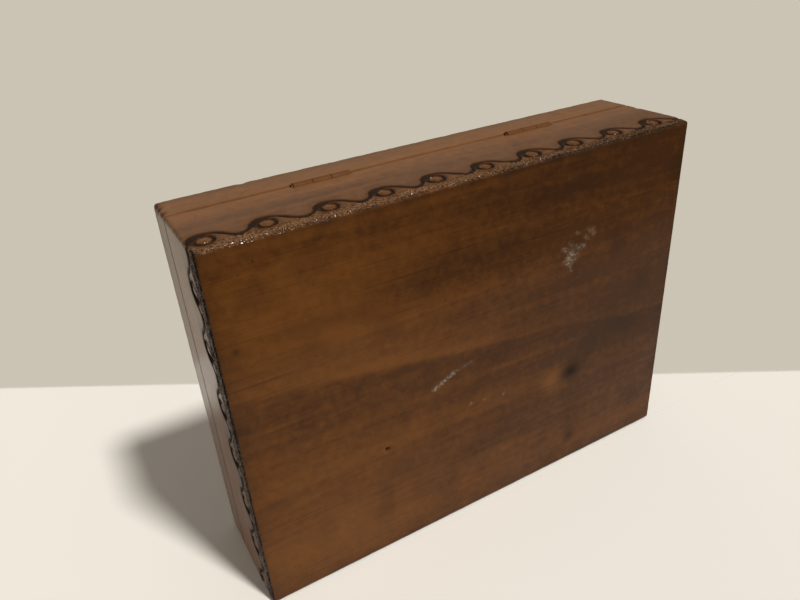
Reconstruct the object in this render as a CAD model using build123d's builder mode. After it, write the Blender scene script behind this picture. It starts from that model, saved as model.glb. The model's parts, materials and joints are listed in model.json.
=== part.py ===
from build123d import *
from math import radians, tan
import os

os.makedirs("parts", exist_ok=True)

# A hinged wooden box for two decks of playing cards, lying on its underside with the lid shut.
# X runs left to right, Y front to back and Z up. The origin is the middle of the underside.
# All sizes are in millimetres.

# Outside of the shut box
box_length = 150.0
box_width = 112.0
body_height = 24.7  # from the underside up to the seam under the lid
lid_height = 12.0  # from the seam up to the top

# Timber
wall_thickness = 8.0
bottom_thickness = 4.0
top_thickness = 4.0
edge_ease = 1.0  # radius worked on every outer arris
seam_ease = 0.3  # small bevel along both lips of the seam

# Divider between the two card wells, let into the front and the back
divider_thickness = 5.0
divider_drop = 1.2  # how far its top edge lies below the seam
divider_bevel = 0.8  # worked along both sides of its top edge
housing_depth = 2.0
housing_play = 0.05
scoop_width = 34.0  # finger scoop in its top edge
scoop_depth = 12.0
scoop_shoulder = 4.0

# Thumb nick in the front, under the lip of the lid
nick_width = 14.0
nick_depth = 2.0

# Pair of butt hinges let into the back, with the pins' axes in the plane of the seam
hinge_spacing = 68.0  # middle of one hinge to the middle of the other
hinge_length = 16.0
leaf_thickness = 0.8
leaf_reach = 5.8  # from the pin's axis to the free edge of a leaf
knuckle_radius = 1.2
knuckle_gap = 0.15  # between one knuckle and the next along the pin
swing_clearance = 0.15  # round a knuckle, to the wood and to the other leaf
mortise_play = 0.05
pin_radius = 0.55
pin_play = 0.05
pin_inset = 0.5  # pin's axis inside the back face of the box
pin_head_radius = 0.85
pin_head_length = 0.35
lid_stop_angle = 104.0  # where the two bevels behind the pins meet

# Countersunk screws that hold the leaves
screw_spacing = 8.4
screw_offset = 3.6  # from the pin's axis
screw_length = 4.6
screw_radius = 0.6
screw_head_radius = 1.15
screw_cone_angle = 90.0  # under the head, from side to side
screw_sink = 0.06  # how far a head lies below the face of its leaf
screw_play = 0.03
slot_width = 0.35
slot_depth = 0.22

# Sizes that follow from the ones above
inner_length = box_length - 2 * wall_thickness
inner_width = box_width - 2 * wall_thickness
box_height = body_height + lid_height
back_face = box_width / 2
pin_y = back_face - pin_inset
hinge_middles = (-hinge_spacing / 2, hinge_spacing / 2)
knuckle_length = hinge_length / 3
screw_cone_height = (screw_head_radius - screw_radius) / tan(radians(screw_cone_angle / 2))
divider_top = body_height - divider_drop


def carcass(low, high):
    """Frame of four walls, before it is sawn apart at the mitres."""
    with BuildPart() as frame:
        with BuildSketch(Plane.XY.offset(low)):
            RectangleRounded(box_length, box_width, edge_ease)
            Rectangle(inner_length, inner_width, mode=Mode.SUBTRACT)
        extrude(amount=high - low)
    return frame.part


def seam_bevel(direction):
    """Wedge taken off a back lip of the seam. Two of them are the stop of the opened lid.

    direction is -1 for the body's lip and 1 for the lid's.
    """
    out = pin_inset + wall_thickness
    rise = out * tan(radians(lid_stop_angle / 2))
    with BuildPart() as wedge:
        with BuildSketch(Plane.YZ.offset(-box_length / 2)):
            with BuildLine():
                Polyline(
                    (pin_y, body_height),
                    (pin_y + out, body_height),
                    (pin_y + out, body_height + direction * rise),
                    close=True,
                )
            make_face()
        extrude(amount=box_length)
    return wedge.part


def hinge_mortises(direction):
    """Recesses for both hinges, with the pilot holes of their screws, as one cutter."""
    cut_length = hinge_length + 2 * mortise_play
    knuckle_cut = hinge_length + 2 * (pin_head_length + knuckle_gap + swing_clearance)
    with BuildPart() as cutter:
        for middle in hinge_middles:
            with BuildSketch(Plane.YZ.offset(middle - cut_length / 2)):
                with Locations((pin_y, body_height)):
                    Rectangle(
                        leaf_reach + mortise_play,
                        leaf_thickness,
                        align=(Align.MAX, Align.MIN if direction > 0 else Align.MAX),
                    )
            extrude(amount=cut_length)
            with BuildSketch(Plane.YZ.offset(middle - knuckle_cut / 2)):
                with Locations((pin_y, body_height)):
                    Circle(knuckle_radius + swing_clearance)
            extrude(amount=knuckle_cut)
            with BuildSketch(Plane.XY.offset(body_height)):
                with Locations(*screw_places(middle)):
                    Circle(screw_radius + screw_play)
            extrude(amount=direction * (screw_sink + screw_length))
    return cutter.part


def screw_places(middle):
    """Where the two screws of one leaf stand, for the hinge whose middle is at that X."""
    return [
        (middle - screw_spacing / 2, pin_y - screw_offset),
        (middle + screw_spacing / 2, pin_y - screw_offset),
    ]


def save(piece, name):
    """Names one piece and writes it."""
    piece.label = name
    export_step(piece, f"parts/{name}.step")


# Body carcass: four mitred walls in one ring
with BuildPart() as body_carcass:
    add(carcass(bottom_thickness, body_height))
    chamfer(body_carcass.faces().sort_by(Axis.Z)[-1].outer_wire().edges(), seam_ease)
    add(seam_bevel(-1), mode=Mode.SUBTRACT)
    add(hinge_mortises(-1), mode=Mode.SUBTRACT)
    # Housings for the ends of the divider, stopped at its top edge
    with BuildSketch(Plane.XY.offset(bottom_thickness)):
        Rectangle(
            divider_thickness + 2 * housing_play,
            inner_width + 2 * housing_depth,
        )
    extrude(amount=divider_top - bottom_thickness, mode=Mode.SUBTRACT)
    # Thumb nick, a shallow bowl that ends at the seam
    bowl_radius = (nick_width**2 / 4 + nick_depth**2) / (2 * nick_depth)
    with Locations((0, -back_face + nick_depth - bowl_radius, body_height)):
        Sphere(bowl_radius, mode=Mode.SUBTRACT)

# Lid carcass: the same ring above the seam
with BuildPart() as lid_carcass:
    add(carcass(body_height, box_height - top_thickness))
    chamfer(lid_carcass.faces().sort_by(Axis.Z)[0].outer_wire().edges(), seam_ease)
    add(seam_bevel(1), mode=Mode.SUBTRACT)
    add(hinge_mortises(1), mode=Mode.SUBTRACT)

# Each wall is what lies between two mitres. A mitre plane stands on a corner of the box,
# turned 45 degrees, and its normal points to the wall that is kept.
mitres = {
    "front": [((-1, -1), (1, -1)), ((1, -1), (-1, -1))],
    "back": [((-1, 1), (1, 1)), ((1, 1), (-1, 1))],
    "left": [((-1, -1), (-1, 1)), ((-1, 1), (-1, -1))],
    "right": [((1, -1), (1, 1)), ((1, 1), (1, -1))],
}
for side, cuts in mitres.items():
    for ring, owner in ((body_carcass, "body"), (lid_carcass, "lid")):
        with BuildPart() as wall:
            add(ring.part)
            for (corner_x, corner_y), (normal_x, normal_y) in cuts:
                split(
                    bisect_by=Plane(
                        origin=(corner_x * box_length / 2, corner_y * box_width / 2, 0),
                        z_dir=(normal_x, normal_y, 0),
                    ),
                    keep=Keep.TOP,
                )
        save(wall.part, f"{owner}_{side}")

# Bottom board, planted under the walls
with BuildPart() as bottom_board:
    with BuildSketch():
        Rectangle(box_length, box_width)
    extrude(amount=bottom_thickness)
    rim = bottom_board.faces().sort_by(Axis.Z)[0].edges()
    fillet(rim + bottom_board.edges().filter_by(Axis.Z), edge_ease)
save(bottom_board.part, "bottom_board")

# Top board, planted on the lid
with BuildPart() as lid_top:
    with BuildSketch(Plane.XY.offset(box_height - top_thickness)):
        Rectangle(box_length, box_width)
    extrude(amount=top_thickness)
    rim = lid_top.faces().sort_by(Axis.Z)[-1].edges()
    fillet(rim + lid_top.edges().filter_by(Axis.Z), edge_ease)
save(lid_top.part, "lid_top")

# Divider with its finger scoop
scoop_radius = (scoop_width**2 / 4 + scoop_depth**2) / (2 * scoop_depth)
with BuildPart() as divider:
    with BuildSketch(Plane.YZ.offset(-divider_thickness / 2)) as side_view:
        with Locations((0, bottom_thickness)):
            Rectangle(
                inner_width + 2 * (housing_depth - housing_play),
                divider_top - bottom_thickness,
                align=(Align.CENTER, Align.MIN),
            )
        with Locations((0, divider_top - scoop_depth + scoop_radius)):
            Circle(scoop_radius, mode=Mode.SUBTRACT)
        lips = side_view.vertices().group_by(Axis.Y)[-1].sort_by(Axis.X)[1:-1]
        fillet(lips, scoop_shoulder)
    extrude(amount=divider_thickness)
    floor_edges = divider.faces().sort_by(Axis.Z)[0].edges()
    upright_edges = divider.edges().filter_by(Axis.Z)
    cross_edges = divider.edges().filter_by(Axis.X)
    top_edges = divider.edges() - floor_edges - upright_edges - cross_edges
    chamfer(top_edges, divider_bevel)
save(divider.part, "divider")


def hinge_leaf(middle, direction):
    """Leaf with its knuckles. The body's leaf has the two outer ones, the lid's the middle one.

    direction is -1 for the leaf under the seam and 1 for the one above it.
    """
    start = middle - hinge_length / 2
    thirds = [start + n * knuckle_length for n in range(3)]
    others = [thirds[1]] if direction < 0 else [thirds[0], thirds[2]]
    with BuildPart() as leaf:
        with BuildSketch(Plane.YZ.offset(start)):
            with Locations((pin_y, body_height)):
                Rectangle(
                    leaf_reach,
                    leaf_thickness,
                    align=(Align.MAX, Align.MIN if direction > 0 else Align.MAX),
                )
        extrude(amount=hinge_length)
        with BuildSketch(Plane.YZ.offset(start)):
            with Locations((pin_y, body_height)):
                Circle(knuckle_radius)
        extrude(amount=hinge_length)
        # Room for the other leaf's knuckles
        for other in others:
            with BuildSketch(Plane.YZ.offset(other - knuckle_gap / 2)):
                with Locations((pin_y, body_height)):
                    Circle(knuckle_radius + swing_clearance)
            extrude(amount=knuckle_length + knuckle_gap, mode=Mode.SUBTRACT)
        # Bore for the pin
        with BuildSketch(Plane.YZ.offset(start)):
            with Locations((pin_y, body_height)):
                Circle(pin_radius + pin_play)
        extrude(amount=hinge_length, mode=Mode.SUBTRACT)
        # Countersunk holes, opening at the seam
        for place_x, place_y in screw_places(middle):
            with Locations(Plane((place_x, place_y, body_height), z_dir=(0, 0, -direction))):
                CounterSinkHole(
                    screw_radius + screw_play,
                    screw_head_radius + screw_sink + screw_play,
                    depth=leaf_thickness,
                    counter_sink_angle=screw_cone_angle,
                )
    return leaf.part


def hinge_pin(middle):
    """Pin with a small riveted head at each end."""
    length = hinge_length + 2 * knuckle_gap
    start = middle - length / 2
    with BuildPart() as pin:
        with BuildSketch(Plane.YZ.offset(start)):
            with Locations((pin_y, body_height)):
                Circle(pin_radius)
        extrude(amount=length)
        for head_start in (start - pin_head_length, start + length):
            with BuildSketch(Plane.YZ.offset(head_start)):
                with Locations((pin_y, body_height)):
                    Circle(pin_head_radius)
            extrude(amount=pin_head_length)
    return pin.part


for word, middle in zip(("left", "right"), hinge_middles):
    save(hinge_leaf(middle, -1), f"hinge_{word}_body_leaf")
    save(hinge_leaf(middle, 1), f"hinge_{word}_lid_leaf")
    save(hinge_pin(middle), f"hinge_{word}_pin")

# One slotted countersunk screw, standing point down under the seam
with BuildPart() as screw:
    with BuildSketch(Plane.XZ):
        with BuildLine():
            Polyline(
                (0, 0),
                (screw_head_radius, 0),
                (screw_radius, -screw_cone_height),
                (screw_radius, 2 * screw_radius - screw_length),
                (0, -screw_length),
                close=True,
            )
        make_face()
    revolve(axis=Axis.Z)
    with BuildSketch():
        Rectangle(2.2 * screw_head_radius, slot_width)
    extrude(amount=-slot_depth, mode=Mode.SUBTRACT)

# The four screws of the body's leaves, and their mirror image in the lid
with BuildPart() as body_screws:
    for middle in hinge_middles:
        for place_x, place_y in screw_places(middle):
            with Locations((place_x, place_y, body_height - screw_sink)):
                add(screw.part)
save(body_screws.part, "hinge_screws_body")

with BuildPart() as lid_screws:
    mirror(body_screws.part, about=Plane.XY.offset(body_height))
save(lid_screws.part, "hinge_screws_lid")
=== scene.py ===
"""Looks of a hinged wooden box for playing cards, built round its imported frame.

The box lies on its underside with its hinged back towards +Y. Shapes are worked out in millimetres
and put into their meshes in metres. Names that end in _m hold metres.
"""

import json
import logging
from dataclasses import dataclass
from enum import Enum
from math import acos, cos, pi, radians, sin, tan

import bmesh
import bpy
import numpy as np
from mathutils import Matrix, Vector

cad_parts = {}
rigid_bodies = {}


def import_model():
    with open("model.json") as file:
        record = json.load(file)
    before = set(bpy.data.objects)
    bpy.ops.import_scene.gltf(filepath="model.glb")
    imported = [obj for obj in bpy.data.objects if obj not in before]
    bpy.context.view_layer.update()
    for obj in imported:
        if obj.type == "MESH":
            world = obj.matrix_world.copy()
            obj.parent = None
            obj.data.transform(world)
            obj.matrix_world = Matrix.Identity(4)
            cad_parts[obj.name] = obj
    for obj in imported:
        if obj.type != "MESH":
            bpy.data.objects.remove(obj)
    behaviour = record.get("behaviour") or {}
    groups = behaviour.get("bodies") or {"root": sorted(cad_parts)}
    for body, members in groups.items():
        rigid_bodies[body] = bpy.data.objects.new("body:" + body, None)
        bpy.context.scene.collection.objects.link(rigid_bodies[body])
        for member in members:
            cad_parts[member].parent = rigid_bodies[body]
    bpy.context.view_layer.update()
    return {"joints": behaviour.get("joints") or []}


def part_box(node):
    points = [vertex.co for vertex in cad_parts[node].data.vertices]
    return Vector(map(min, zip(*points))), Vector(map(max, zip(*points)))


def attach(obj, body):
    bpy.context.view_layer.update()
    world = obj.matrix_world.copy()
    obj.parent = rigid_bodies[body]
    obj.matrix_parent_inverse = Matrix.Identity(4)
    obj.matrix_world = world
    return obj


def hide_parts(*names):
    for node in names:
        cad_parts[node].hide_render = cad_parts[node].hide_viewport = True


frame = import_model()

MM = 0.001
log = logging.getLogger("card_box")

Array = np.ndarray
Colour = tuple[float, float, float]

UPWARD = np.array([0.0, 0.0, 1.0])


class Side(Enum):
    """The four sides of the box, with the outward direction of each in X and Y."""

    FRONT = (0, -1)
    RIGHT = (1, 0)
    BACK = (0, 1)
    LEFT = (-1, 0)

    @property
    def outward(self) -> Array:
        """Unit vector square to the side, pointing out of the box."""
        return np.array([*self.value, 0.0])

    @property
    def along(self) -> Array:
        """Unit vector to the right of someone who faces the side, which is Z crossed with outward."""
        return np.cross(UPWARD, self.outward)

    @property
    def is_long(self) -> bool:
        """Whether this is one of the two long sides, which run along X."""
        return self.value[0] == 0


class Grain(Enum):
    """Which way the fibres of a piece run, as repeats of the figure per metre along X, Y and Z."""

    ALONG_X = (16.0, 330.0, 330.0)
    ALONG_Y = (330.0, 16.0, 330.0)


@dataclass(frozen=True)
class BoxSizes:
    """Sizes of the box in millimetres, read from the frame's nodes."""

    half_length: float
    half_width: float
    board: float
    seam: float
    rail_top: float
    top: float
    wall: float
    pin_inset: float
    hinge_middles: tuple[float, float]
    hinge_length: float
    leaf_reach: float
    leaf_thickness: float = 0.8
    ease: float = 1.0

    @classmethod
    def from_frame(cls) -> "BoxSizes":
        """Reads the sizes from the boxes of the nodes and from the lid's joint.

        Returns:
            The sizes, in millimetres.
        """
        _, board_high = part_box("bottom_board")
        rail_low, rail_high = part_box("lid_left")
        _, top_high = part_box("lid_top")
        pin = Vector(frame["joints"][0]["pos_m"]) / MM
        leaves = [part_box(f"hinge_{word}_body_leaf") for word in ("right", "left")]
        middles = tuple((low.x + high.x) / 2 / MM for low, high in leaves)
        leaf_low, leaf_high = leaves[0]
        return cls(
            half_length=board_high.x / MM,
            half_width=board_high.y / MM,
            board=board_high.z / MM,
            seam=rail_low.z / MM,
            rail_top=rail_high.z / MM,
            top=top_high.z / MM,
            wall=(rail_high.x - rail_low.x) / MM,
            pin_inset=board_high.y / MM - pin.y,
            hinge_middles=middles,
            hinge_length=(leaf_high.x - leaf_low.x) / MM,
            leaf_reach=pin.y - leaf_low.y / MM,
        )

    def half_run(self, side: Side) -> float:
        """Half the length of the box along a side."""
        return self.half_length if side.is_long else self.half_width

    def half_reach(self, side: Side) -> float:
        """Distance from the middle of the box out to a side."""
        return self.half_width if side.is_long else self.half_length


def smooth(low: float, high: float, value: Array) -> Array:
    """Smooth step: 0 below low, 1 above high, and 3t^2 - 2t^3 between, where t is the share of the way.

    Args:
        low: Value at which the step starts.
        high: Value at which it ends, which may be below low for a falling step.
        value: Values to map.

    Returns:
        The steps, from 0 to 1.
    """
    share = np.clip((value - low) / (high - low), 0.0, 1.0)
    return share * share * (3.0 - 2.0 * share)


def wobble(a: Array, b: Array, size: float, seed: int) -> Array:
    """Smooth random waves over a plane: twice the mean of nine sines with seeded directions and phases.

    Args:
        a: First coordinate, in millimetres.
        b: Second coordinate, in millimetres.
        size: Typical length of a wave, in millimetres.
        seed: Number that picks the waves.

    Returns:
        Values of about -1 to 1.
    """
    count = 9
    rng = np.random.default_rng(seed)
    headings, stretches = rng.uniform(0, pi, count), rng.uniform(0.6, 1.8, count)
    phases = rng.uniform(0, 2 * pi, count)
    total = np.zeros(np.broadcast(a, b).shape)
    for heading, stretch, phase in zip(headings, stretches, phases):
        rate = 2 * pi * stretch / size
        total += np.sin(rate * (a * cos(heading) + b * sin(heading)) + phase)
    return total / (count / 2)


def pits(a: Array, b: Array, pitch: float, radius: float, seed: int) -> Array:
    """Round punch marks scattered over a plane, one in each cell of a jittered grid.

    The value is 1 - (d / radius)^2 of the nearest mark, where d is the distance to its middle. Outside the
    mark it is 0.

    Args:
        a: First coordinate, in millimetres.
        b: Second coordinate, in millimetres.
        pitch: Size of a cell, in millimetres.
        radius: Radius of a mark, in millimetres.
        seed: Number that picks the scatter.

    Returns:
        Depth of the marks, from 0 to 1.
    """
    cells = 64
    scatter = np.random.default_rng(seed).uniform(0.15, 0.85, (cells, cells, 2))
    cell_a, cell_b = np.floor(a / pitch).astype(int), np.floor(b / pitch).astype(int)
    nearest = np.full(np.broadcast(a, b).shape, np.inf)
    for step_a in (-1, 0, 1):
        for step_b in (-1, 0, 1):
            near_a, near_b = cell_a + step_a, cell_b + step_b
            place = scatter[near_a % cells, near_b % cells]
            gap = np.hypot(a / pitch - near_a - place[..., 0], b / pitch - near_b - place[..., 1])
            nearest = np.minimum(nearest, gap * pitch)
    return np.clip(1.0 - (nearest / radius) ** 2, 0.0, 1.0)


def spline(points: Array, steps: int) -> Array:
    """Smooth line through points, by a cubic on each stretch between two of them.

    Its slope at each point is half the step from the point before to the point after.

    Args:
        points: The points, one row each.
        steps: Number of samples on each stretch.

    Returns:
        Samples along the line, one row each.
    """
    padded = np.vstack([2 * points[0] - points[1], points, 2 * points[-1] - points[-2]])
    before, start, end, after = padded[:-3], padded[1:-2], padded[2:-1], padded[3:]
    t = np.linspace(0.0, 1.0, steps, endpoint=False)[None, :, None]
    before, start, end, after = (p[:, None, :] for p in (before, start, end, after))
    line = 0.5 * (
        2 * start
        + (end - before) * t
        + (2 * before - 5 * start + 4 * end - after) * t**2
        + (3 * start - before - 3 * end + after) * t**3
    )
    return np.vstack([line.reshape(-1, points.shape[1]), points[-1:]])


def distance_to_line(s: Array, z: Array, line: Array, reach: float = 3.0, at_once: int = 24) -> Array:
    """Distance from each point of a grid to the nearest sample of a line.

    Args:
        s: Coordinate along the side, in millimetres.
        z: Coordinate across it, in millimetres.
        line: Samples of the line, one row each.
        reach: How far along the side a sample is still looked at, in millimetres.
        at_once: Number of samples that are worked out together.

    Returns:
        Distances in millimetres, in the shape of the grid, and infinity beyond the reach of all samples.
    """
    nearest = np.full(s.shape, np.inf)
    for chunk in np.array_split(line, max(1, len(line) // at_once)):
        low, high = chunk[:, 0].min() - reach, chunk[:, 0].max() + reach
        close = (s > low) & (s < high)
        gap_s = s[close][:, None] - chunk[None, :, 0]
        gap_z = z[close][:, None] - chunk[None, :, 1]
        nearest[close] = np.minimum(nearest[close], np.sqrt(gap_s**2 + gap_z**2).min(axis=1))
    return nearest


@dataclass(frozen=True)
class Relief:
    """What the carver left at each point of a grid: how deep it is cut, and how it is finished and kept."""

    depth: Array
    soot: Array
    ground: Array
    worn: Array
    clean: Array


@dataclass(frozen=True)
class ScrollBorder:
    """Running scrolls cut along one side, with a burnt outline and a punched ground under them.

    Lengths are in millimetres. Along the side they are counted from its middle, and across it from its edge.
    The pairs before crest say where smooth steps start and end.
    """

    first: float
    pitch: float
    count: int
    seed: int
    eye_height: float = 5.6
    slip: tuple[float, float, float] = (0.22, 0.12, 0.025)
    line_width: float = 1.3
    line_unevenness: float = 0.2
    line_depth: float = 0.55
    line_burn: tuple[float, float] = (1.1, 0.7)
    line_halo: float = 0.55
    ground_soot: float = 0.35
    ground_drift: float = 0.0
    ring_depth: float = 0.6
    ring_radius: float = 3.15
    ring_offset: float = 0.35
    ring_wall: tuple[float, float] = (-0.05, 0.5)
    ring_burn: tuple[float, float] = (0.0, 0.28)
    ring_floor: tuple[float, float] = (0.4, 0.9)
    ring_floor_rub: float = 0.14
    ring_halo: float = 0.5
    ring_guard: tuple[float, float] = (-0.6, 0.1)
    eye_radius: float = 1.55
    eye_depth: float = 0.3
    eye_shift: float = 0.1
    eye_rim: tuple[float, float] = (0.35, 1.0)
    eye_wear: float = 0.12
    halo_reach: float = 1.2
    halo_fade: tuple[float, float] = (-1.0, 1.5)
    ground_depth: float = 0.28
    ground_height: float = 2.9
    ground_swing: float = 0.7
    ground_bevel: float = 0.15
    ground_brink: tuple[float, float] = (0.35, -0.25)
    ground_wear: float = 0.9
    punch_pitch: float = 0.62
    punch_radius: float = 0.34
    punch_depth: float = 0.16
    punch_soot: float = 0.7
    steps_per_stop: int = 9
    crest: tuple[tuple[float, float], ...] = (
        (-5.0, -1.4),
        (-3.9, -0.2),
        (-3.2, 1.4),
        (-2.0, 2.7),
        (-0.3, 3.3),
        (1.7, 3.1),
        (3.3, 2.3),
        (4.8, 0.8),
        (6.2, -0.8),
    )
    trough: tuple[float, float] = (-7.0, -1.9)

    def centres(self) -> Array:
        """Where the eyes are: an even pitch with small seeded slips of the carver's hand.

        Returns:
            One row for each scroll: place along the side, height, and size as a share of the full one.
        """
        rng = np.random.default_rng(self.seed)
        places = self.first + self.pitch * np.arange(self.count)
        slips = rng.normal(0.0, self.slip, (self.count, 3))
        return np.column_stack([places, np.full(self.count, self.eye_height), np.ones(self.count)]) + slips

    def outline(self) -> Array:
        """Line over the crests and through the troughs, smooth through a few points of each scroll.

        Returns:
            Samples along the line, one row each.
        """
        eyes = self.centres()
        stops = []
        for place, height, size in eyes:
            stops.append((place + self.trough[0], height + self.trough[1]))
            stops.extend((place + a * size, height + b * size) for a, b in self.crest)
        place, height, size = eyes[-1]
        stops.append((place + self.pitch + self.trough[0], height + self.trough[1]))
        stops.append((place + self.pitch + self.crest[0][0], height + self.crest[0][1]))
        return spline(np.array(stops), self.steps_per_stop)

    def crescents(self, s: Array, z: Array) -> dict[str, Array]:
        """Works out the crescents and the domed eyes in them, as the greatest value over all the scrolls.

        A crescent is the part of one circle that is outside a smaller one, the eye, set to its right.

        Args:
            s: Coordinate along the side, in millimetres.
            z: Coordinate across it, in millimetres.

        Returns:
            By name: the depth, the soot in the crescents, the halo round them, the wear on the eyes, and
            kept, which is 1 where a scroll keeps the ground from being cut.
        """
        most = {name: np.zeros(s.shape) for name in ("depth", "soot", "halo", "worn", "kept")}
        for place, height, size in self.centres():
            radius = self.eye_radius * size
            outer_gap = self.ring_radius * size - np.hypot(s - place + self.ring_offset, z - height)
            from_eye = np.hypot(s - place - self.eye_shift, z - height - self.eye_shift)
            inner_gap = from_eye - radius
            into = np.minimum(outer_gap, inner_gap)
            rim = self.eye_depth * smooth(*self.eye_rim, from_eye / radius) * (inner_gap < 0)
            fading = np.exp(np.minimum(outer_gap, 0.0) / self.halo_reach)
            rubbed = self.ring_floor_rub * smooth(*self.ring_floor, into)
            found = {
                "depth": np.maximum(self.ring_depth * smooth(*self.ring_wall, into), rim),
                "soot": smooth(*self.ring_burn, into) * (1.0 - rubbed),
                "halo": self.ring_halo * fading * (outer_gap < 0),
                "worn": self.eye_wear * smooth(1.0, 0.0, from_eye / radius),
                "kept": smooth(*self.ring_guard, outer_gap),
            }
            most = {name: np.maximum(values, found[name]) for name, values in most.items()}
        return most

    def carve(self, s: Array, z: Array) -> Relief:
        """Works out the relief on a grid.

        The outline is a V groove, and round each eye lies a crescent. Below the scrolls the ground is sunk,
        sloped to the edge and punched.

        Args:
            s: Coordinate along the side, in millimetres.
            z: Coordinate across it, in millimetres.

        Returns:
            The relief at each point.
        """
        scrolls = self.crescents(s, z)
        line_gap = distance_to_line(s, z, self.outline())
        half = self.line_width / 2 * (1.0 + self.line_unevenness * wobble(s, z, 6.0, self.seed + 1))
        depth = np.maximum(self.line_depth * np.clip(1.0 - line_gap / half, 0.0, 1.0), scrolls["depth"])
        soot = np.maximum(smooth(*self.line_burn, line_gap / half), scrolls["soot"])
        halo = self.line_halo * np.exp(-line_gap / self.halo_reach)
        halo = np.maximum(halo * smooth(*self.halo_fade, z - self.ground_height), scrolls["halo"])
        swing = self.ground_swing * np.cos(2 * pi * (s - self.first) / self.pitch)
        brink = self.ground_height - swing + 0.25 * wobble(s, z, 7.0, self.seed + 2)
        ground = smooth(*self.ground_brink, z - brink) * (1.0 - scrolls["kept"])
        marks = pits(s, z, self.punch_pitch, self.punch_radius, self.seed + 3)
        sunk = self.ground_depth * (0.75 + 0.25 * wobble(s, z, 2.5, self.seed + 4))
        sunk = sunk + self.punch_depth * marks
        depth = np.maximum(depth, ground * (sunk + self.ground_bevel * smooth(self.ground_height, 0.2, z)))
        dirt = self.ground_soot + self.ground_drift * smooth(-20.0, 60.0, s)
        dirt_here = dirt * (0.7 + 0.3 * wobble(s, z, 4.0, self.seed + 5))
        stain = ground * (dirt_here + self.punch_soot * marks)
        soot = np.clip(np.maximum(soot, halo * (1.0 - 0.85 * ground)) + stain, 0.0, 1.0)
        worn = np.maximum(scrolls["worn"], ground * (self.ground_wear - 0.5 * marks))
        worn = worn * (1.0 - 0.8 * smooth(0.5, 1.0, soot))
        return Relief(depth, soot, ground, worn, clean=ground * (1.0 - dirt))


@dataclass(frozen=True)
class Dent:
    """A small knock in an arris: its middle in the box's frame, its reach and its depth, in millimetres."""

    place: tuple[float, float, float]
    reach: float
    depth: float

    def into(self, points: Array) -> Array:
        """How far the surface is pressed in at each point: depth times a bell curve of the distance."""
        gap = np.linalg.norm(points - np.array(self.place), axis=-1)
        return self.depth * np.exp(-((gap / self.reach) ** 2))


@dataclass(frozen=True)
class ArrisWear:
    """Softening and knocks along the outer edges of the box."""

    sizes: BoxSizes
    dents: tuple[Dent, ...]
    softening: float = 0.16
    reach: float = 0.9
    grime_and_shade_reach: float = 0.55

    def edge_distance(self, points: Array) -> Array:
        """Distance to the nearest outer arris, as the second smallest of the distances to the faces.

        Args:
            points: Points on the surface, in millimetres.

        Returns:
            Distances in millimetres.
        """
        size = self.sizes
        to_faces = np.stack(
            [
                size.half_length - np.abs(points[..., 0]),
                size.half_width - np.abs(points[..., 1]),
                np.minimum(points[..., 2], size.top - points[..., 2]),
            ]
        )
        return np.sort(to_faces, axis=0)[1]

    def into(self, points: Array) -> Array:
        """How far each point of a surface is pushed in.

        Args:
            points: Points on the surface, in millimetres.

        Returns:
            Depths in millimetres: seeded waves that fade away from the arris, and the named dents.
        """
        edge = np.clip(self.edge_distance(points), 0.0, None)
        run = points[..., 0] + 1.7 * points[..., 1]
        waves = wobble(run, points[..., 2] * 2.3, 9.0, seed=31)
        waves = waves + 0.8 * wobble(run, points[..., 2] * 3.1, 2.6, seed=32)
        fading = np.exp(-((edge / self.reach) ** 2))
        depth = self.softening * np.clip(0.25 + 0.6 * waves, 0.0, None) * fading
        for dent in self.dents:
            depth = depth + dent.into(points)
        return depth

    def grime_and_shade(self, points: Array) -> Array:
        """Dirt and darkened varnish along the arrises, with painted shade on their turned edges and in the
        dents, broken up by waves and darkest in the dents.

        Args:
            points: Points on the surface, in millimetres.

        Returns:
            Darkness from 0 to 1.
        """
        edge = np.clip(self.edge_distance(points), 0.0, None)
        run = points[..., 0] + 1.3 * points[..., 1]
        broken = np.clip(0.62 + 0.45 * wobble(run, 3.0 * points[..., 2], 5.0, seed=33), 0.0, 1.0)
        # dirt, and painted shade where the eased arris turns away
        dark = 0.85 * broken * np.exp(-((edge / self.grime_and_shade_reach) ** 2))
        # painted shade in the dents, where the darkness is full
        for dent in self.dents:
            dark = np.maximum(dark, dent.into(points) / dent.depth)
        return dark


def add_object(name: str, data: bpy.types.ID) -> bpy.types.Object:
    """Makes an object of a mesh, a camera or a light, and puts it in the scene.

    Args:
        name: Name of the object.
        data: What it shows.

    Returns:
        The object.
    """
    made = bpy.data.objects.new(name, data)
    bpy.context.scene.collection.objects.link(made)
    return made


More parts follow.
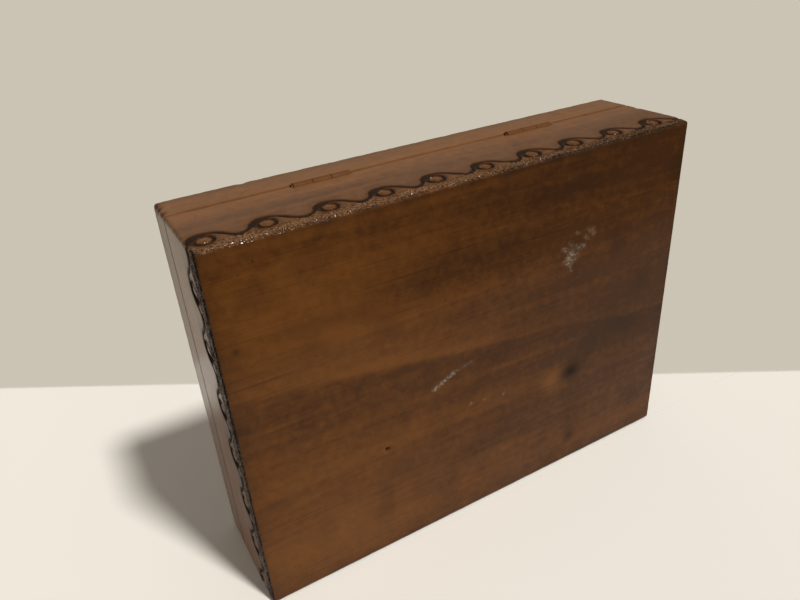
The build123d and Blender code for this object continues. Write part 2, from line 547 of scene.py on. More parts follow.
class Shell:
    """Grids, loops and fills gathered into one closed mesh with named values on its points.

    Points closer than the weld are made one, and faces narrower than a sliver go, both in millimetres.
    """

    LAYERS = ("soot", "ground", "worn", "tone", "warm", "pale", "bare")
    WELD = 0.002
    SLIVER = 0.001
    SHARP_DEG = 38.0

    def __init__(self) -> None:
        """Starts an empty shell."""
        self.points: list[Array] = []
        self.faces: list[list[int]] = []
        self.layers: dict[str, list[Array]] = {name: [] for name in self.LAYERS}
        self.count = 0

    def add_points(self, points: Array, **layers: Array) -> Array:
        """Adds points and the values they carry.

        Args:
            points: Points in millimetres, in any grid shape with the coordinates last.
            **layers: Values for each point, by the name of their layer. What isn't given is 0.

        Returns:
            The index of each point, in the grid's shape.
        """
        shape = points.shape[:-1]
        total = int(np.prod(shape))
        self.points.append(points.reshape(-1, 3))
        for name in self.LAYERS:
            values = layers.get(name, np.zeros(shape))
            self.layers[name].append(np.broadcast_to(values, shape).reshape(-1))
        index = np.arange(self.count, self.count + total).reshape(shape)
        self.count += total
        return index

    def add_quads(self, index: Array) -> None:
        """Joins neighbours of a grid of indices by four-sided faces."""
        quads = np.stack([index[:-1, :-1], index[:-1, 1:], index[1:, 1:], index[1:, :-1]], axis=-1)
        self.faces.extend(quads.reshape(-1, 4).tolist())

    def add_fill(self, ring: Array) -> None:
        """Closes a ring of indices by one flat face."""
        self.faces.append(ring.tolist())

    def zip_loops(self, outer: Array, outer_at: Array, inner: Array, inner_at: Array) -> None:
        """Joins two closed loops by triangles, in step with how far round each vertex is.

        Each edge of a loop meets the vertex that the other loop has reached there.

        Args:
            outer: Indices of the outer loop.
            outer_at: How far round they are, from 0, rising, under 4.
            inner: Indices of the inner loop.
            inner_at: How far round they are.
        """
        outer_end = np.append(outer_at[1:], 4.0)
        inner_end = np.append(inner_at[1:], 4.0)
        met_inner = np.searchsorted(inner_end, outer_end, side="right") % len(inner)
        met_outer = np.searchsorted(outer_end, inner_end, side="left") % len(outer)
        self.faces.extend(np.stack([outer, np.roll(outer, -1), inner[met_inner]], axis=1).tolist())
        self.faces.extend(np.stack([np.roll(inner, -1), inner, outer[met_outer]], axis=1).tolist())

    def build(self, name: str) -> bpy.types.Object:
        """Puts the shell into a mesh, closes its seams and turns its faces outwards.

        Args:
            name: Name of the new object.

        Returns:
            The object, at the origin.
        """
        mesh = bpy.data.meshes.new(name)
        points = np.vstack(self.points) * MM
        faces = [face for face in self.faces if len(set(face)) > 2]
        mesh.from_pydata(points.tolist(), [], faces)
        for layer, values in self.layers.items():
            attribute = mesh.attributes.new(layer, "FLOAT", "POINT")
            attribute.data.foreach_set("value", np.concatenate(values).astype(np.float32))
        shape = bmesh.new()
        shape.from_mesh(mesh)
        bmesh.ops.remove_doubles(shape, verts=shape.verts, dist=self.WELD * MM)
        bmesh.ops.dissolve_degenerate(shape, edges=shape.edges, dist=self.SLIVER * MM)
        loose = [vertex for vertex in shape.verts if not vertex.link_faces]
        bmesh.ops.delete(shape, geom=loose, context="VERTS")
        bmesh.ops.recalc_face_normals(shape, faces=shape.faces)
        shape.to_mesh(mesh)
        shape.free()
        mesh.polygons.foreach_set("use_smooth", np.ones(len(mesh.polygons), dtype=bool))
        mesh.set_sharp_from_angle(angle=radians(self.SHARP_DEG))
        return add_object(name, mesh)


def stations(low: float, high: float, step: float) -> Array:
    """Even places from low to high, both kept, about step apart. They fall where high is below low."""
    return np.linspace(low, high, max(2, round(abs(high - low) / step) + 1))


@dataclass
class Wall:
    """One mitred wall of the body or rail of the lid, as a section carried from mitre to mitre.

    A point of the section has a depth in from the outer face and a height h away from the seam. The body's
    walls run down from the seam and the lid's rails run up from it. Lengths are in millimetres.
    """

    name: str
    side: Side
    sizes: BoxSizes
    wear: ArrisWear
    border: ScrollBorder | None = None
    lid: bool = False
    fine: float = 0.22
    coarse: float = 0.8
    corner_steps: int = 4
    lip: float = 0.3
    stop_angle: float = 104.0
    knuckle_room: float = 1.35
    knuckle_gap: float = 0.65
    knuckle_reach: float = 2.0
    mortise_play: float = 0.05
    mortise_arc_steps: int = 9
    housing_half: float = 2.55
    housing_depth: float = 2.0
    divider_drop: float = 1.2
    nick_half: float = 7.0
    nick_depth: float = 2.0
    carved_height: float = 10.4
    inner_step: float = 3.0
    crack_reach: float = 0.9
    crack_dirt: float = 0.4

    @property
    def run(self) -> float:
        """Half the length of the wall, from the middle to the corner of the box."""
        return self.sizes.half_run(self.side)

    @property
    def height(self) -> float:
        """Distance from the seam to the board that the wall is glued to."""
        return self.sizes.rail_top - self.sizes.seam if self.lid else self.sizes.seam - self.sizes.board

    @property
    def hinged(self) -> bool:
        """Whether the hinges are let into this wall."""
        return self.side is Side.BACK

    def level(self, h: Array) -> Array:
        """Height in the box's frame of a height away from the seam."""
        return self.sizes.seam + (h if self.lid else -h)

    def columns(self) -> tuple[Array, Array, Array]:
        """Places along the wall where its section is worked out.

        They are even, with a pair at each edge of a mortise or housing, one just before and one just after
        it, and a few on each rounded corner.

        Returns:
            Place along the flat, the angle round the corner there, and the place that masks are read at.
        """
        flat = self.run - self.sizes.ease
        step = self.coarse / 2 if self.lid else self.fine
        plain = stations(-flat, flat, step)
        breaks = []
        if self.hinged:
            for middle in self.sizes.hinge_middles:
                for half in (self.mortise_half(), self.knuckle_half()):
                    breaks += [-middle - half, -middle + half]
        if self.housed():
            breaks += [-self.housing_half, self.housing_half]
        place = np.concatenate([plain, np.repeat(np.array(breaks, dtype=float), 2)])
        nudge = np.concatenate([np.zeros(len(plain)), np.tile([-1e-3, 1e-3], len(breaks))])
        order = np.argsort(place + nudge, kind="stable")
        place, nudge = place[order], nudge[order]
        turn = np.linspace(0.0, pi / 4, self.corner_steps + 1)[1:]
        place = np.concatenate([np.full(len(turn), -flat), place, np.full(len(turn), flat)])
        angle = np.concatenate([-turn[::-1], np.zeros(len(order)), turn])
        nudge = np.concatenate([np.zeros(len(turn)), nudge, np.zeros(len(turn))])
        return place, angle, place + nudge

    def mortise_half(self) -> float:
        """Half the length of the shallow recess for a hinge's leaves."""
        return self.sizes.hinge_length / 2 + self.mortise_play

    def knuckle_half(self) -> float:
        """Half the length of the recess for a hinge's knuckles and the heads of its pin."""
        return self.sizes.hinge_length / 2 + self.knuckle_gap

    def housed(self) -> bool:
        """Whether the divider's end is let into this wall."""
        return not self.lid and self.side.is_long

    def outside(self, place: Array, angle: Array, inset: Array, h: Array) -> Array:
        """Points on the outer skin, which follows the flat and turns round each corner.

        At a corner a point lies on an arc of radius ease less inset about the corner's centre.

        Args:
            place: Place along the flat.
            angle: Angle round the corner.
            inset: Depth in from the skin, square to it.
            h: Height away from the seam.

        Returns:
            Points in the box's frame.
        """
        radius = self.sizes.ease - inset
        return self.placed(place + radius * np.sin(angle), self.sizes.ease - radius * np.cos(angle), h)

    def inside(self, place: Array, angle: Array, depth: Array, h: Array) -> Array:
        """Points in from the outer skin, kept within the mitres.

        A point at a depth lies no further along than the wall's half run less that depth.

        Args:
            place: Place along the flat.
            angle: Angle round the corner, of which only the sign counts.
            depth: Depth in from the outer face.
            h: Height away from the seam.

        Returns:
            Points in the box's frame.
        """
        reach = self.run - depth
        along = np.where(angle == 0, place, np.sign(angle) * self.run)
        return self.placed(np.clip(along, -reach, reach), depth, h)

    def placed(self, along: Array, depth: Array, h: Array) -> Array:
        """Turns places on the wall into points in the box's frame.

        Args:
            along: Place along the side.
            depth: Depth in from the outer face.
            h: Height away from the seam.

        Returns:
            Points in millimetres.
        """
        along, depth, level = np.broadcast_arrays(along, depth, self.level(h))
        outward = self.sizes.half_reach(self.side) - depth
        points = along[..., None] * self.side.along + outward[..., None] * self.side.outward
        return points + level[..., None] * UPWARD

    def from_hinge(self, at: Array) -> Array:
        """Distance of each place along the wall from the middle of the nearest hinge."""
        middles = -np.array(self.sizes.hinge_middles)[:, None]
        return np.abs(at[None, :] - middles).min(axis=0)

    def bevel_height(self) -> float:
        """How far the bevel behind the pins runs down the back face."""
        return self.sizes.pin_inset * tan(radians(self.stop_angle / 2))

    def lip_rows(self, at: Array) -> tuple[Array, Array]:
        """Section over the lip of the seam, from the outer face to the seam's plane.

        It is a straight bevel. In the recess of a hinge it is an arc about the pin instead.

        Args:
            at: Place along the wall, for the masks.

        Returns:
            Insets and heights, one row for each step of the section.
        """
        steps = np.linspace(0.0, 1.0, self.mortise_arc_steps)[:, None]
        if not self.hinged:
            inset = self.lip * steps[:2] / steps[1]
            return inset + 0 * at, self.lip - inset + 0 * at
        pin, room = self.sizes.pin_inset, self.knuckle_room
        from_hinge = self.from_hinge(at)
        start = acos(-pin / room)
        end = np.where(from_hinge < self.mortise_half(), np.arcsin(self.sizes.leaf_thickness / room), 0.0)
        turn = start + (end - start) * steps
        in_recess = from_hinge < self.knuckle_half()
        inset = np.where(in_recess, pin + room * np.cos(turn), pin * steps)
        return inset, np.where(in_recess, room * np.sin(turn), self.bevel_height() * (1 - steps))

    def seam_rows(self, at: Array) -> tuple[Array, Array]:
        """Section across the seam's plane to the inner face, down the step of a mortise and up again.

        Args:
            at: Place along the wall, for the masks.

        Returns:
            Depths and heights, one row for each step of the section.
        """
        level = np.zeros(at.shape)
        in_mortise = self.hinged & (self.from_hinge(at) < self.mortise_half())
        floor = np.where(in_mortise, self.sizes.leaf_thickness, level)
        reach = self.sizes.pin_inset + self.sizes.leaf_reach + self.mortise_play
        half_way = (reach + self.knuckle_reach) / 2
        depth = np.stack([level + half_way, level + reach, level + reach, level + self.sizes.wall])
        return depth, np.stack([floor, floor, level, level])

    def inner_rows(self, at: Array) -> tuple[Array, Array]:
        """Section down the inner face, with the housing for the divider.

        Args:
            at: Place along the wall, for the masks.

        Returns:
            Depths and heights, one row for each step of the section.
        """
        stop = self.divider_drop
        levels = np.concatenate([[stop, stop], stations(stop, self.height, self.inner_step)[1:]])
        recess = np.where((np.abs(at) < self.housing_half) & self.housed(), self.housing_depth, 0.0)
        below = np.concatenate([[0.0], np.ones(len(levels) - 1)])
        return self.sizes.wall - below[:, None] * recess[None, :], levels[:, None] + 0 * at[None, :]

    def face_levels(self) -> Array:
        """Heights of the rows on the outer face, closer where it is carved, from the board to the seam.

        Returns:
            Heights away from the seam, falling.
        """
        start = self.bevel_height() if self.hinged else self.lip
        if self.border is None:
            return stations(self.height, start, self.coarse / 2)
        plain = self.sizes.seam - self.carved_height
        carved = stations(self.height, plain, self.fine)
        return np.concatenate([carved[:-1], stations(plain, start, self.coarse / 2)])

    def nick(self, along: Array, h: Array) -> Array:
        """Thumb nick in the front of the body: a bowl cut by a ball that stands on the seam's plane.

        Args:
            along: Place along the side.
            h: Height away from the seam.

        Returns:
            Depth of the bowl at each point, 0 on every other wall.
        """
        if self.lid or self.side is not Side.FRONT:
            return np.zeros(np.broadcast(along, h).shape)
        radius = (self.nick_half**2 + self.nick_depth**2) / (2 * self.nick_depth)
        left = np.clip(radius**2 - along**2 - h**2, 0.0, None)
        return np.clip(self.nick_depth - radius + np.sqrt(left), 0.0, None)

    def dressing(self, points: Array, along: Array, h: Array) -> tuple[Array, dict[str, Array]]:
        """How deep the outer skin is cut by carving and wear, and what its points carry.

        Args:
            points: Points of the skin before it is cut.
            along: Place of each column along the side.
            h: Height of each point away from the seam.

        Returns:
            Depths in millimetres, and values by the name of their layer.
        """
        broken = 0.75 + 0.25 * wobble(along, 0 * along, 12.0, seed=41)
        crack = self.crack_dirt * broken * np.exp(-((h / self.crack_reach) ** 2))
        # the arrises' darkening is dirt and painted shade
        cut, grime_and_shade = self.wear.into(points), np.maximum(self.wear.grime_and_shade(points), crack)
        if self.border is None:
            return cut, {"soot": grime_and_shade}
        relief = self.border.carve(along + 0 * h, self.level(h))
        soot = np.maximum(relief.soot, grime_and_shade * (1.0 - relief.clean))
        return np.maximum(cut, relief.depth), {"soot": soot, "ground": relief.ground, "worn": relief.worn}

    def build(self) -> bpy.types.Object:
        """Carries the section along the wall and closes it at the mitres.

        Returns:
            The finished piece.
        """
        place, angle, at = self.columns()
        lip_inset, lip_h = self.lip_rows(at)
        face_h = np.maximum(self.face_levels()[:, None] + 0 * at, lip_h[:1])
        skin_h = np.vstack([face_h, lip_h[1:]])
        skin_inset = np.vstack([np.zeros(face_h.shape), lip_inset[1:]])
        along = place + self.sizes.ease * np.sin(angle)
        cut, layers = self.dressing(self.outside(place, angle, skin_inset, skin_h), along, skin_h)
        if self.hinged:
            # the bevel and the arcs of the recesses stay as they are
            cut = np.where(lip_h[:1] > 0.99 * skin_h, 0.0, cut)
        skin_inset = np.maximum(skin_inset + cut, self.nick(along, skin_h))
        skin = self.outside(place, angle, skin_inset, skin_h)
        seam_depth, seam_h = self.seam_rows(at)
        inner_depth, inner_h = self.inner_rows(at)
        back = self.inside(place, angle, np.vstack([seam_depth, inner_depth]), np.vstack([seam_h, inner_h]))
        shell = Shell()
        rows = np.vstack([shell.add_points(skin, **layers), shell.add_points(back)])
        shell.add_quads(np.vstack([rows, rows[:1]]))
        shell.add_fill(rows[:, 0])
        shell.add_fill(rows[::-1, -1])
        return shell.build(self.name)


@dataclass
class Board:
    """The board planted under the walls, or the one on the lid, as a skin round its edge and over its face.

    A point of the skin has a height above the glued face and a distance in from the outer edge. Lengths are
    in millimetres. The underside's carving fades out over the turn of the arris, and its figure over the
    last of the height.
    """

    name: str
    sizes: BoxSizes
    wear: ArrisWear
    borders: dict[Side, ScrollBorder]
    lid: bool = False
    fine: float = 0.25
    face_step: float = 0.62
    margin: float = 1.6
    hidden_step: float = 4.0
    fillet_steps: int = 6
    corner_steps: int = 6
    border_set_in: float = 1.4
    carved_turn_deg: tuple[float, float] = (88.0, 55.0)
    face_blend: tuple[float, float] = (1.2, 0.2)
    marks: "UndersideFigure | None" = None

    @property
    def thickness(self) -> float:
        """Thickness of the board."""
        return self.sizes.top - self.sizes.rail_top if self.lid else self.sizes.board

    def level(self, h: Array) -> Array:
        """Height in the box's frame of a height above the glued face."""
        return self.sizes.rail_top + h if self.lid else self.sizes.board - h

    def section(self) -> tuple[Array, Array, Array]:
        """Rows of the skin, from the glued face up the edge, round the eased arris and onto the face.

        Returns:
            Distance in from the edge, height above the glued face, and the angle that the skin has turned.
        """
        ease = self.sizes.ease
        edge = stations(0.0, self.thickness - ease, self.fine)
        turn = np.linspace(0.0, pi / 2, self.fillet_steps + 1)[1:]
        face = stations(ease, self.margin, self.fine)[1:]
        inward = np.concatenate([0 * edge, ease * (1 - np.cos(turn)), face])
        fillet = self.thickness - ease + ease * np.sin(turn)
        height = np.concatenate([edge, fillet, 0 * face + self.thickness])
        return inward, height, np.concatenate([0 * edge, turn, 0 * face + pi / 2])

    def loop(self) -> tuple[Array, Array, list[Side], Array]:
        """Columns of the skin round the board: a flat for each side and an arc for each corner.

        Returns:
            Place along the flat, angle round the corner, the side of each column, and how far round it is.
        """
        place, angle, sides, at = [], [], [], []
        for number, side in enumerate(Side):
            flat = self.sizes.half_run(side) - self.sizes.ease
            along = stations(-flat, flat, self.fine)
            turn = np.linspace(0.0, pi / 2, self.corner_steps + 1)[1:-1]
            place += [along, np.full(len(turn), flat)]
            angle += [0 * along, turn]
            sides += [side] * (len(along) + len(turn))
            at += [number + (along + flat) / (2 * flat), np.full(len(turn), number + 1.0)]
        round_at = np.clip(np.concatenate(at), 0.0, 4.0 - 1e-9)
        return np.concatenate(place), np.concatenate(angle), sides, round_at

    def skin(self, inward: Array, height: Array) -> tuple[Array, Array]:
        """Points of the skin for every row and column.

        Inside the eased arris the flats stay and the corners' arcs shrink. Further in the flats shrink too.

        Args:
            inward: Distance in from the edge, by row and column.
            height: Height above the glued face, by row and column.

        Returns:
            Points in the box's frame, and the place of each along its own side.
        """
        place, angle, sides, _ = self.loop()
        ease = self.sizes.ease
        radius = np.clip(ease - inward, 0.0, None)
        half = np.array([self.sizes.half_run(side) for side in sides])
        reach = np.array([self.sizes.half_reach(side) for side in sides])
        along_axis = np.array([side.along for side in sides])
        out_axis = np.array([side.outward for side in sides])
        deeper = np.clip(inward - ease, 0.0, None)
        along = place * (half - ease - deeper) / (half - ease) + radius * np.sin(angle)
        outward = reach - ease - deeper + radius * np.cos(angle)
        points = along[..., None] * along_axis + outward[..., None] * out_axis
        return points + self.level(height)[..., None] * UPWARD, along

    def relief(self, along: Array, across: Array, turned: Array) -> Relief:
        """Relief of the borders, each on its own side's columns.

        Args:
            along: Place of each point along its side.
            across: Its distance from the border's edge.
            turned: Angle that the skin has turned there.

        Returns:
            The relief at each point.
        """
        sides = self.loop()[2]
        parts = {name: np.zeros(along.shape) for name in ("depth", "soot", "ground", "worn", "clean")}
        for side, border in self.borders.items():
            columns = np.array([one is side for one in sides])
            cut = border.carve(along[:, columns], across[:, columns])
            for name, values in parts.items():
                values[:, columns] = getattr(cut, name)
        fade = 1.0 if self.lid else smooth(*np.radians(self.carved_turn_deg), turned)
        return Relief(**{name: values * fade for name, values in parts.items()})

    def face_lines(self, half: float, centres: list[tuple[float, float]]) -> Array:
        """Grid lines over the face: even ones, with closer ones round named places.

        Args:
            half: Half the length of the grid.
            centres: Middle and half width of each stretch with closer lines.

        Returns:
            The lines, rising, both ends kept.
        """
        lines = stations(-half, half, self.face_step)
        for middle, reach in centres:
            lines = lines[np.abs(lines - middle) > reach]
            lines = np.concatenate([lines, stations(middle - reach, middle + reach, self.fine)])
        return np.unique(np.round(np.clip(lines, -half, half), 5))

    def build(self) -> bpy.types.Object:
        """Makes the skin round the edge, the face inside it and the glued face.

        Returns:
            The finished piece.
        """
        inward, height, turned = (rows[:, None] for rows in self.section())
        *_, at = self.loop()
        level = np.zeros(len(at))
        nominal, along = self.skin(inward + level, height + level)
        if self.lid:
            across = inward + level - self.border_set_in
            shown = smooth(-0.3, 0.3, across)
        else:
            ease = self.sizes.ease
            across = np.where(turned > 0, ease - ease * turned, self.sizes.board - height) + level
            shown = 1.0
        relief = self.relief(along, across, turned + level)
        depth = np.maximum(self.wear.into(nominal), relief.depth * shown)
        points, _ = self.skin(inward + depth * np.cos(turned), height - depth * np.sin(turned))
        # the arrises' darkening brings painted shade onto the board's eased edges
        soot = np.maximum(relief.soot * shown, self.wear.grime_and_shade(nominal) * (1.0 - relief.clean * shown))
        layers = {"soot": soot, "ground": relief.ground * shown, "worn": relief.worn * shown}
        shell = Shell()
        rows = shell.add_points(points, **self.figure(points, layers))
        shell.add_quads(np.column_stack([rows, rows[:, :1]]))
        self.close(shell, rows[-1], at, self.margin + self.face_step, self.thickness, False)
        self.close(shell, rows[0], at, self.hidden_step, 0.0, True)
        return shell.build(self.name)

    def figure(self, points: Array, layers: dict[str, Array]) -> dict[str, Array]:
        """Adds the figure and marks of the underside to the values that points carry.

        Args:
            points: Points in millimetres.
            layers: Values by the name of their layer, which are added to.

        Returns:
            The same values.
        """
        if self.marks is None:
            return layers
        on_face = smooth(*self.face_blend, points[..., 2])
        for name, values in self.marks.values(points).items():
            layers[name] = layers.get(name, 0.0) + values * on_face
        return layers

    def close(self, shell: Shell, rim: Array, at: Array, inset: float, height: float, hidden: bool) -> None:
        """Closes one face by a grid, zipped to the skin's last row.

        Args:
            shell: Shell to add to.
            rim: Indices of the skin's last row.
            at: How far round each of them is.
            inset: Distance of the grid's border from the edge of the board.
            height: Height of the face above the glued face.
            hidden: Whether this is the glued face, which has a coarse grid.
        """
        half_x, half_y = self.sizes.half_length - inset, self.sizes.half_width - inset
        if hidden:
            x, y = stations(-half_x, half_x, self.hidden_step), stations(-half_y, half_y, self.hidden_step)
        else:
            fine_x, fine_y = self.marks.fine_places() if self.marks else ([], [])
            x, y = self.face_lines(half_x, fine_x), self.face_lines(half_y, fine_y)
        grid_x, grid_y = np.meshgrid(x, y, indexing="ij")
        points = np.stack([grid_x, grid_y, self.level(height + 0 * grid_x)], axis=-1)
        layers: dict[str, Array] = {}
        if self.marks is not None and not hidden:
            layers = self.figure(points, {})
            points[..., 2] += self.marks.depth(points)
        index = shell.add_points(points, **layers)
        shell.add_quads(index)
        loop = np.concatenate([index[:-1, 0], index[-1, :-1], index[:0:-1, -1], index[0, :0:-1]])
        along_x, along_y = (x + half_x) / (2 * half_x), (y + half_y) / (2 * half_y)
        loop_at = np.concatenate([along_x[:-1], 1 + along_y[:-1], 3 - along_x[:0:-1], 4 - along_y[:0:-1]])
        shell.zip_loops(rim, at, loop, loop_at)


@dataclass(frozen=True)
class Mark:
    """A mark on the underside: a stroke from one place to another, with a width and what it changes."""

    start: tuple[float, float]
    end: tuple[float, float]
    radius: float
    layer: str
    amount: float
    depth: float = 0.0

    def cover(self, x: Array, y: Array) -> Array:
        """Share of the mark at each point: a bell curve of the distance to the stroke.

        Args:
            x: X of the points, in millimetres.
            y: Y of the points, in millimetres.

        Returns:
            Values from 0 to 1.
        """
        run_x, run_y = self.end[0] - self.start[0], self.end[1] - self.start[1]
        squared = max(run_x**2 + run_y**2, 1e-9)
        share = np.clip(((x - self.start[0]) * run_x + (y - self.start[1]) * run_y) / squared, 0.0, 1.0)
        gap = np.hypot(x - self.start[0] - share * run_x, y - self.start[1] - share * run_y)
        return np.exp(-((gap / self.radius) ** 2))


def scuff(
    middle: tuple[float, float], reach: tuple[float, float], count: int, seed: int
) -> tuple[Mark, ...]:
    """Scatters short pale strokes over an oval patch, all leaning much the same way.

    Args:
        middle: Middle of the patch, in millimetres.
        reach: How far it reaches along X and along Y.
        count: Number of strokes.
        seed: Number that picks the scatter.

    Returns:
        The strokes.
    """
    rng = np.random.default_rng(seed)
    starts = rng.normal(middle, np.array(reach) / 2, (count, 2))
    runs = rng.normal((0.9, 0.7), 0.5, (count, 2))
    widths, shares = rng.uniform(0.4, 0.8, count), rng.uniform(0.15, 0.5, count)
    strokes = zip(starts.tolist(), (starts + runs).tolist(), widths.tolist(), shares.tolist())
    return tuple(
        Mark(tuple(start), tuple(end), width, "pale", share) for start, end, width, share in strokes
    )


@dataclass(frozen=True)
class Zone:
    """A soft patch of lighter, darker or warmer colour, the wood's own and in some patches painted light too:
    a bell curve with its own reach along each axis.
    """

    middle: tuple[float, float]
    reach: tuple[float, float]
    layer: str
    amount: float

    def cover(self, x: Array, y: Array) -> Array:
        """Share of the patch at each point, its outline drawn out unevenly by slow waves.

        Args:
            x: X of the points, in millimetres.
            y: Y of the points, in millimetres.

        Returns:
            Values from 0 to 1.
        """
        across = y + 2.0 * wobble(x, 0.3 * y, 60.0, seed=71)
        gap = ((x - self.middle[0]) / self.reach[0]) ** 2 + ((across - self.middle[1]) / self.reach[1]) ** 2
        return np.exp(-gap)


@dataclass(frozen=True)
class UndersideFigure:
    """Figure of the planted bottom board, with its knot, its dark bands and the knocks of long use.

    The boundary is a slanting line that follows the grain, with the lighter wood beyond it and a painted
    highlight, a lighter and warmer band, along part of it. The mottle is waves, each with its amount, its
    size in millimetres and its seed.
    """

    zones: tuple[Zone, ...]
    marks: tuple[Mark, ...]
    half_length: float
    half_width: float
    boundary_start: float = 16.0
    boundary_slope: float = 0.156
    boundary_blend: tuple[float, float] = (-0.6, 0.9)
    boundary_reach: float = 9.0
    lighter: float = 0.22
    darker: float = 0.18
    warmer: float = 0.12
    painted_gleam_offset: float = 1.6
    painted_gleam_reach: float = 1.8
    painted_gleam_start: tuple[float, float] = (-20.0, 10.0)
    painted_gleam_end: tuple[float, float] = (55.0, 35.0)
    painted_gleam_tone: float = 0.25
    painted_gleam_warmth: float = 0.18
    mottle: tuple[tuple[float, float, int], ...] = ((0.10, 15.0, 73), (0.08, 5.5, 74), (0.06, 2.6, 75))
    rim_dirt_and_shade: float = 0.6
    rim_reach: float = 2.0
    blotches: float = 0.16
    bare: float = 0.6
    deep: float = 0.3
    fine_reach: float = 1.6

    def values(self, points: Array) -> dict[str, Array]:
        """Tone and warmth with a painted highlight, dirt with painted shade at the edges, pale rubs and
        thinned varnish at each point of the underside.

        Args:
            points: Points in millimetres.

        Returns:
            Values by the name of their layer.
        """
        x, y = points[..., 0], points[..., 1]
        line = self.boundary_start + self.boundary_slope * (x - self.half_length)
        line = line + 0.8 * wobble(x, 0 * y, 45.0, seed=72)
        above = smooth(*self.boundary_blend, y - line)
        near = np.exp(-np.abs(y - line) / self.boundary_reach)
        # painted highlight: a band of lighter, warmer colour beside the boundary
        painted_gleam = np.exp(-(((y - line - self.painted_gleam_offset) / self.painted_gleam_reach) ** 2))
        painted_gleam = painted_gleam * smooth(*self.painted_gleam_start, x) * smooth(*self.painted_gleam_end, x)
        mottle = sum(amount * wobble(x, y, size, seed) for amount, size, seed in self.mottle)
        edge = np.minimum(self.half_length - np.abs(x), self.half_width - np.abs(y))
        # darker towards the edges of the underside: dirt, and painted shade of the eased edge
        rim = self.rim_dirt_and_shade * np.exp(-edge / self.rim_reach) * (0.7 + 0.4 * wobble(x, y, 9.0, seed=76))
        tone = near * (self.lighter * above - self.darker * (1 - above))
        layers = {
            "tone": tone + self.painted_gleam_tone * painted_gleam + mottle,
            "warm": self.warmer * above * near + self.painted_gleam_warmth * painted_gleam,
            "soot": rim + np.clip(self.blotches * wobble(x, y, 24.0, seed=77), 0.0, None),
            "bare": self.bare + 0 * x,
        }
        for shape in (*self.zones, *self.marks):
            layers[shape.layer] = layers.get(shape.layer, 0 * x) + shape.amount * shape.cover(x, y)
        return layers

    def depth(self, points: Array) -> Array:
        """How far each point of the underside is pressed in, in millimetres."""
        x, y = points[..., 0], points[..., 1]
        return sum(mark.depth * mark.cover(x, y) for mark in self.marks if mark.depth)

    def fine_places(self) -> tuple[list[tuple[float, float]], list[tuple[float, float]]]:
        """Where closer grid lines are wanted along X and along Y, for marks that are pressed in deeply."""
        deep = [mark.start for mark in self.marks if mark.depth > self.deep]
        return [(x, self.fine_reach) for x, _ in deep], [(y, self.fine_reach) for _, y in deep]


def opaque(colour: Colour) -> tuple[float, float, float, float]:
    """The colour with full alpha, as node sockets take it."""
    return (*colour, 1.0)


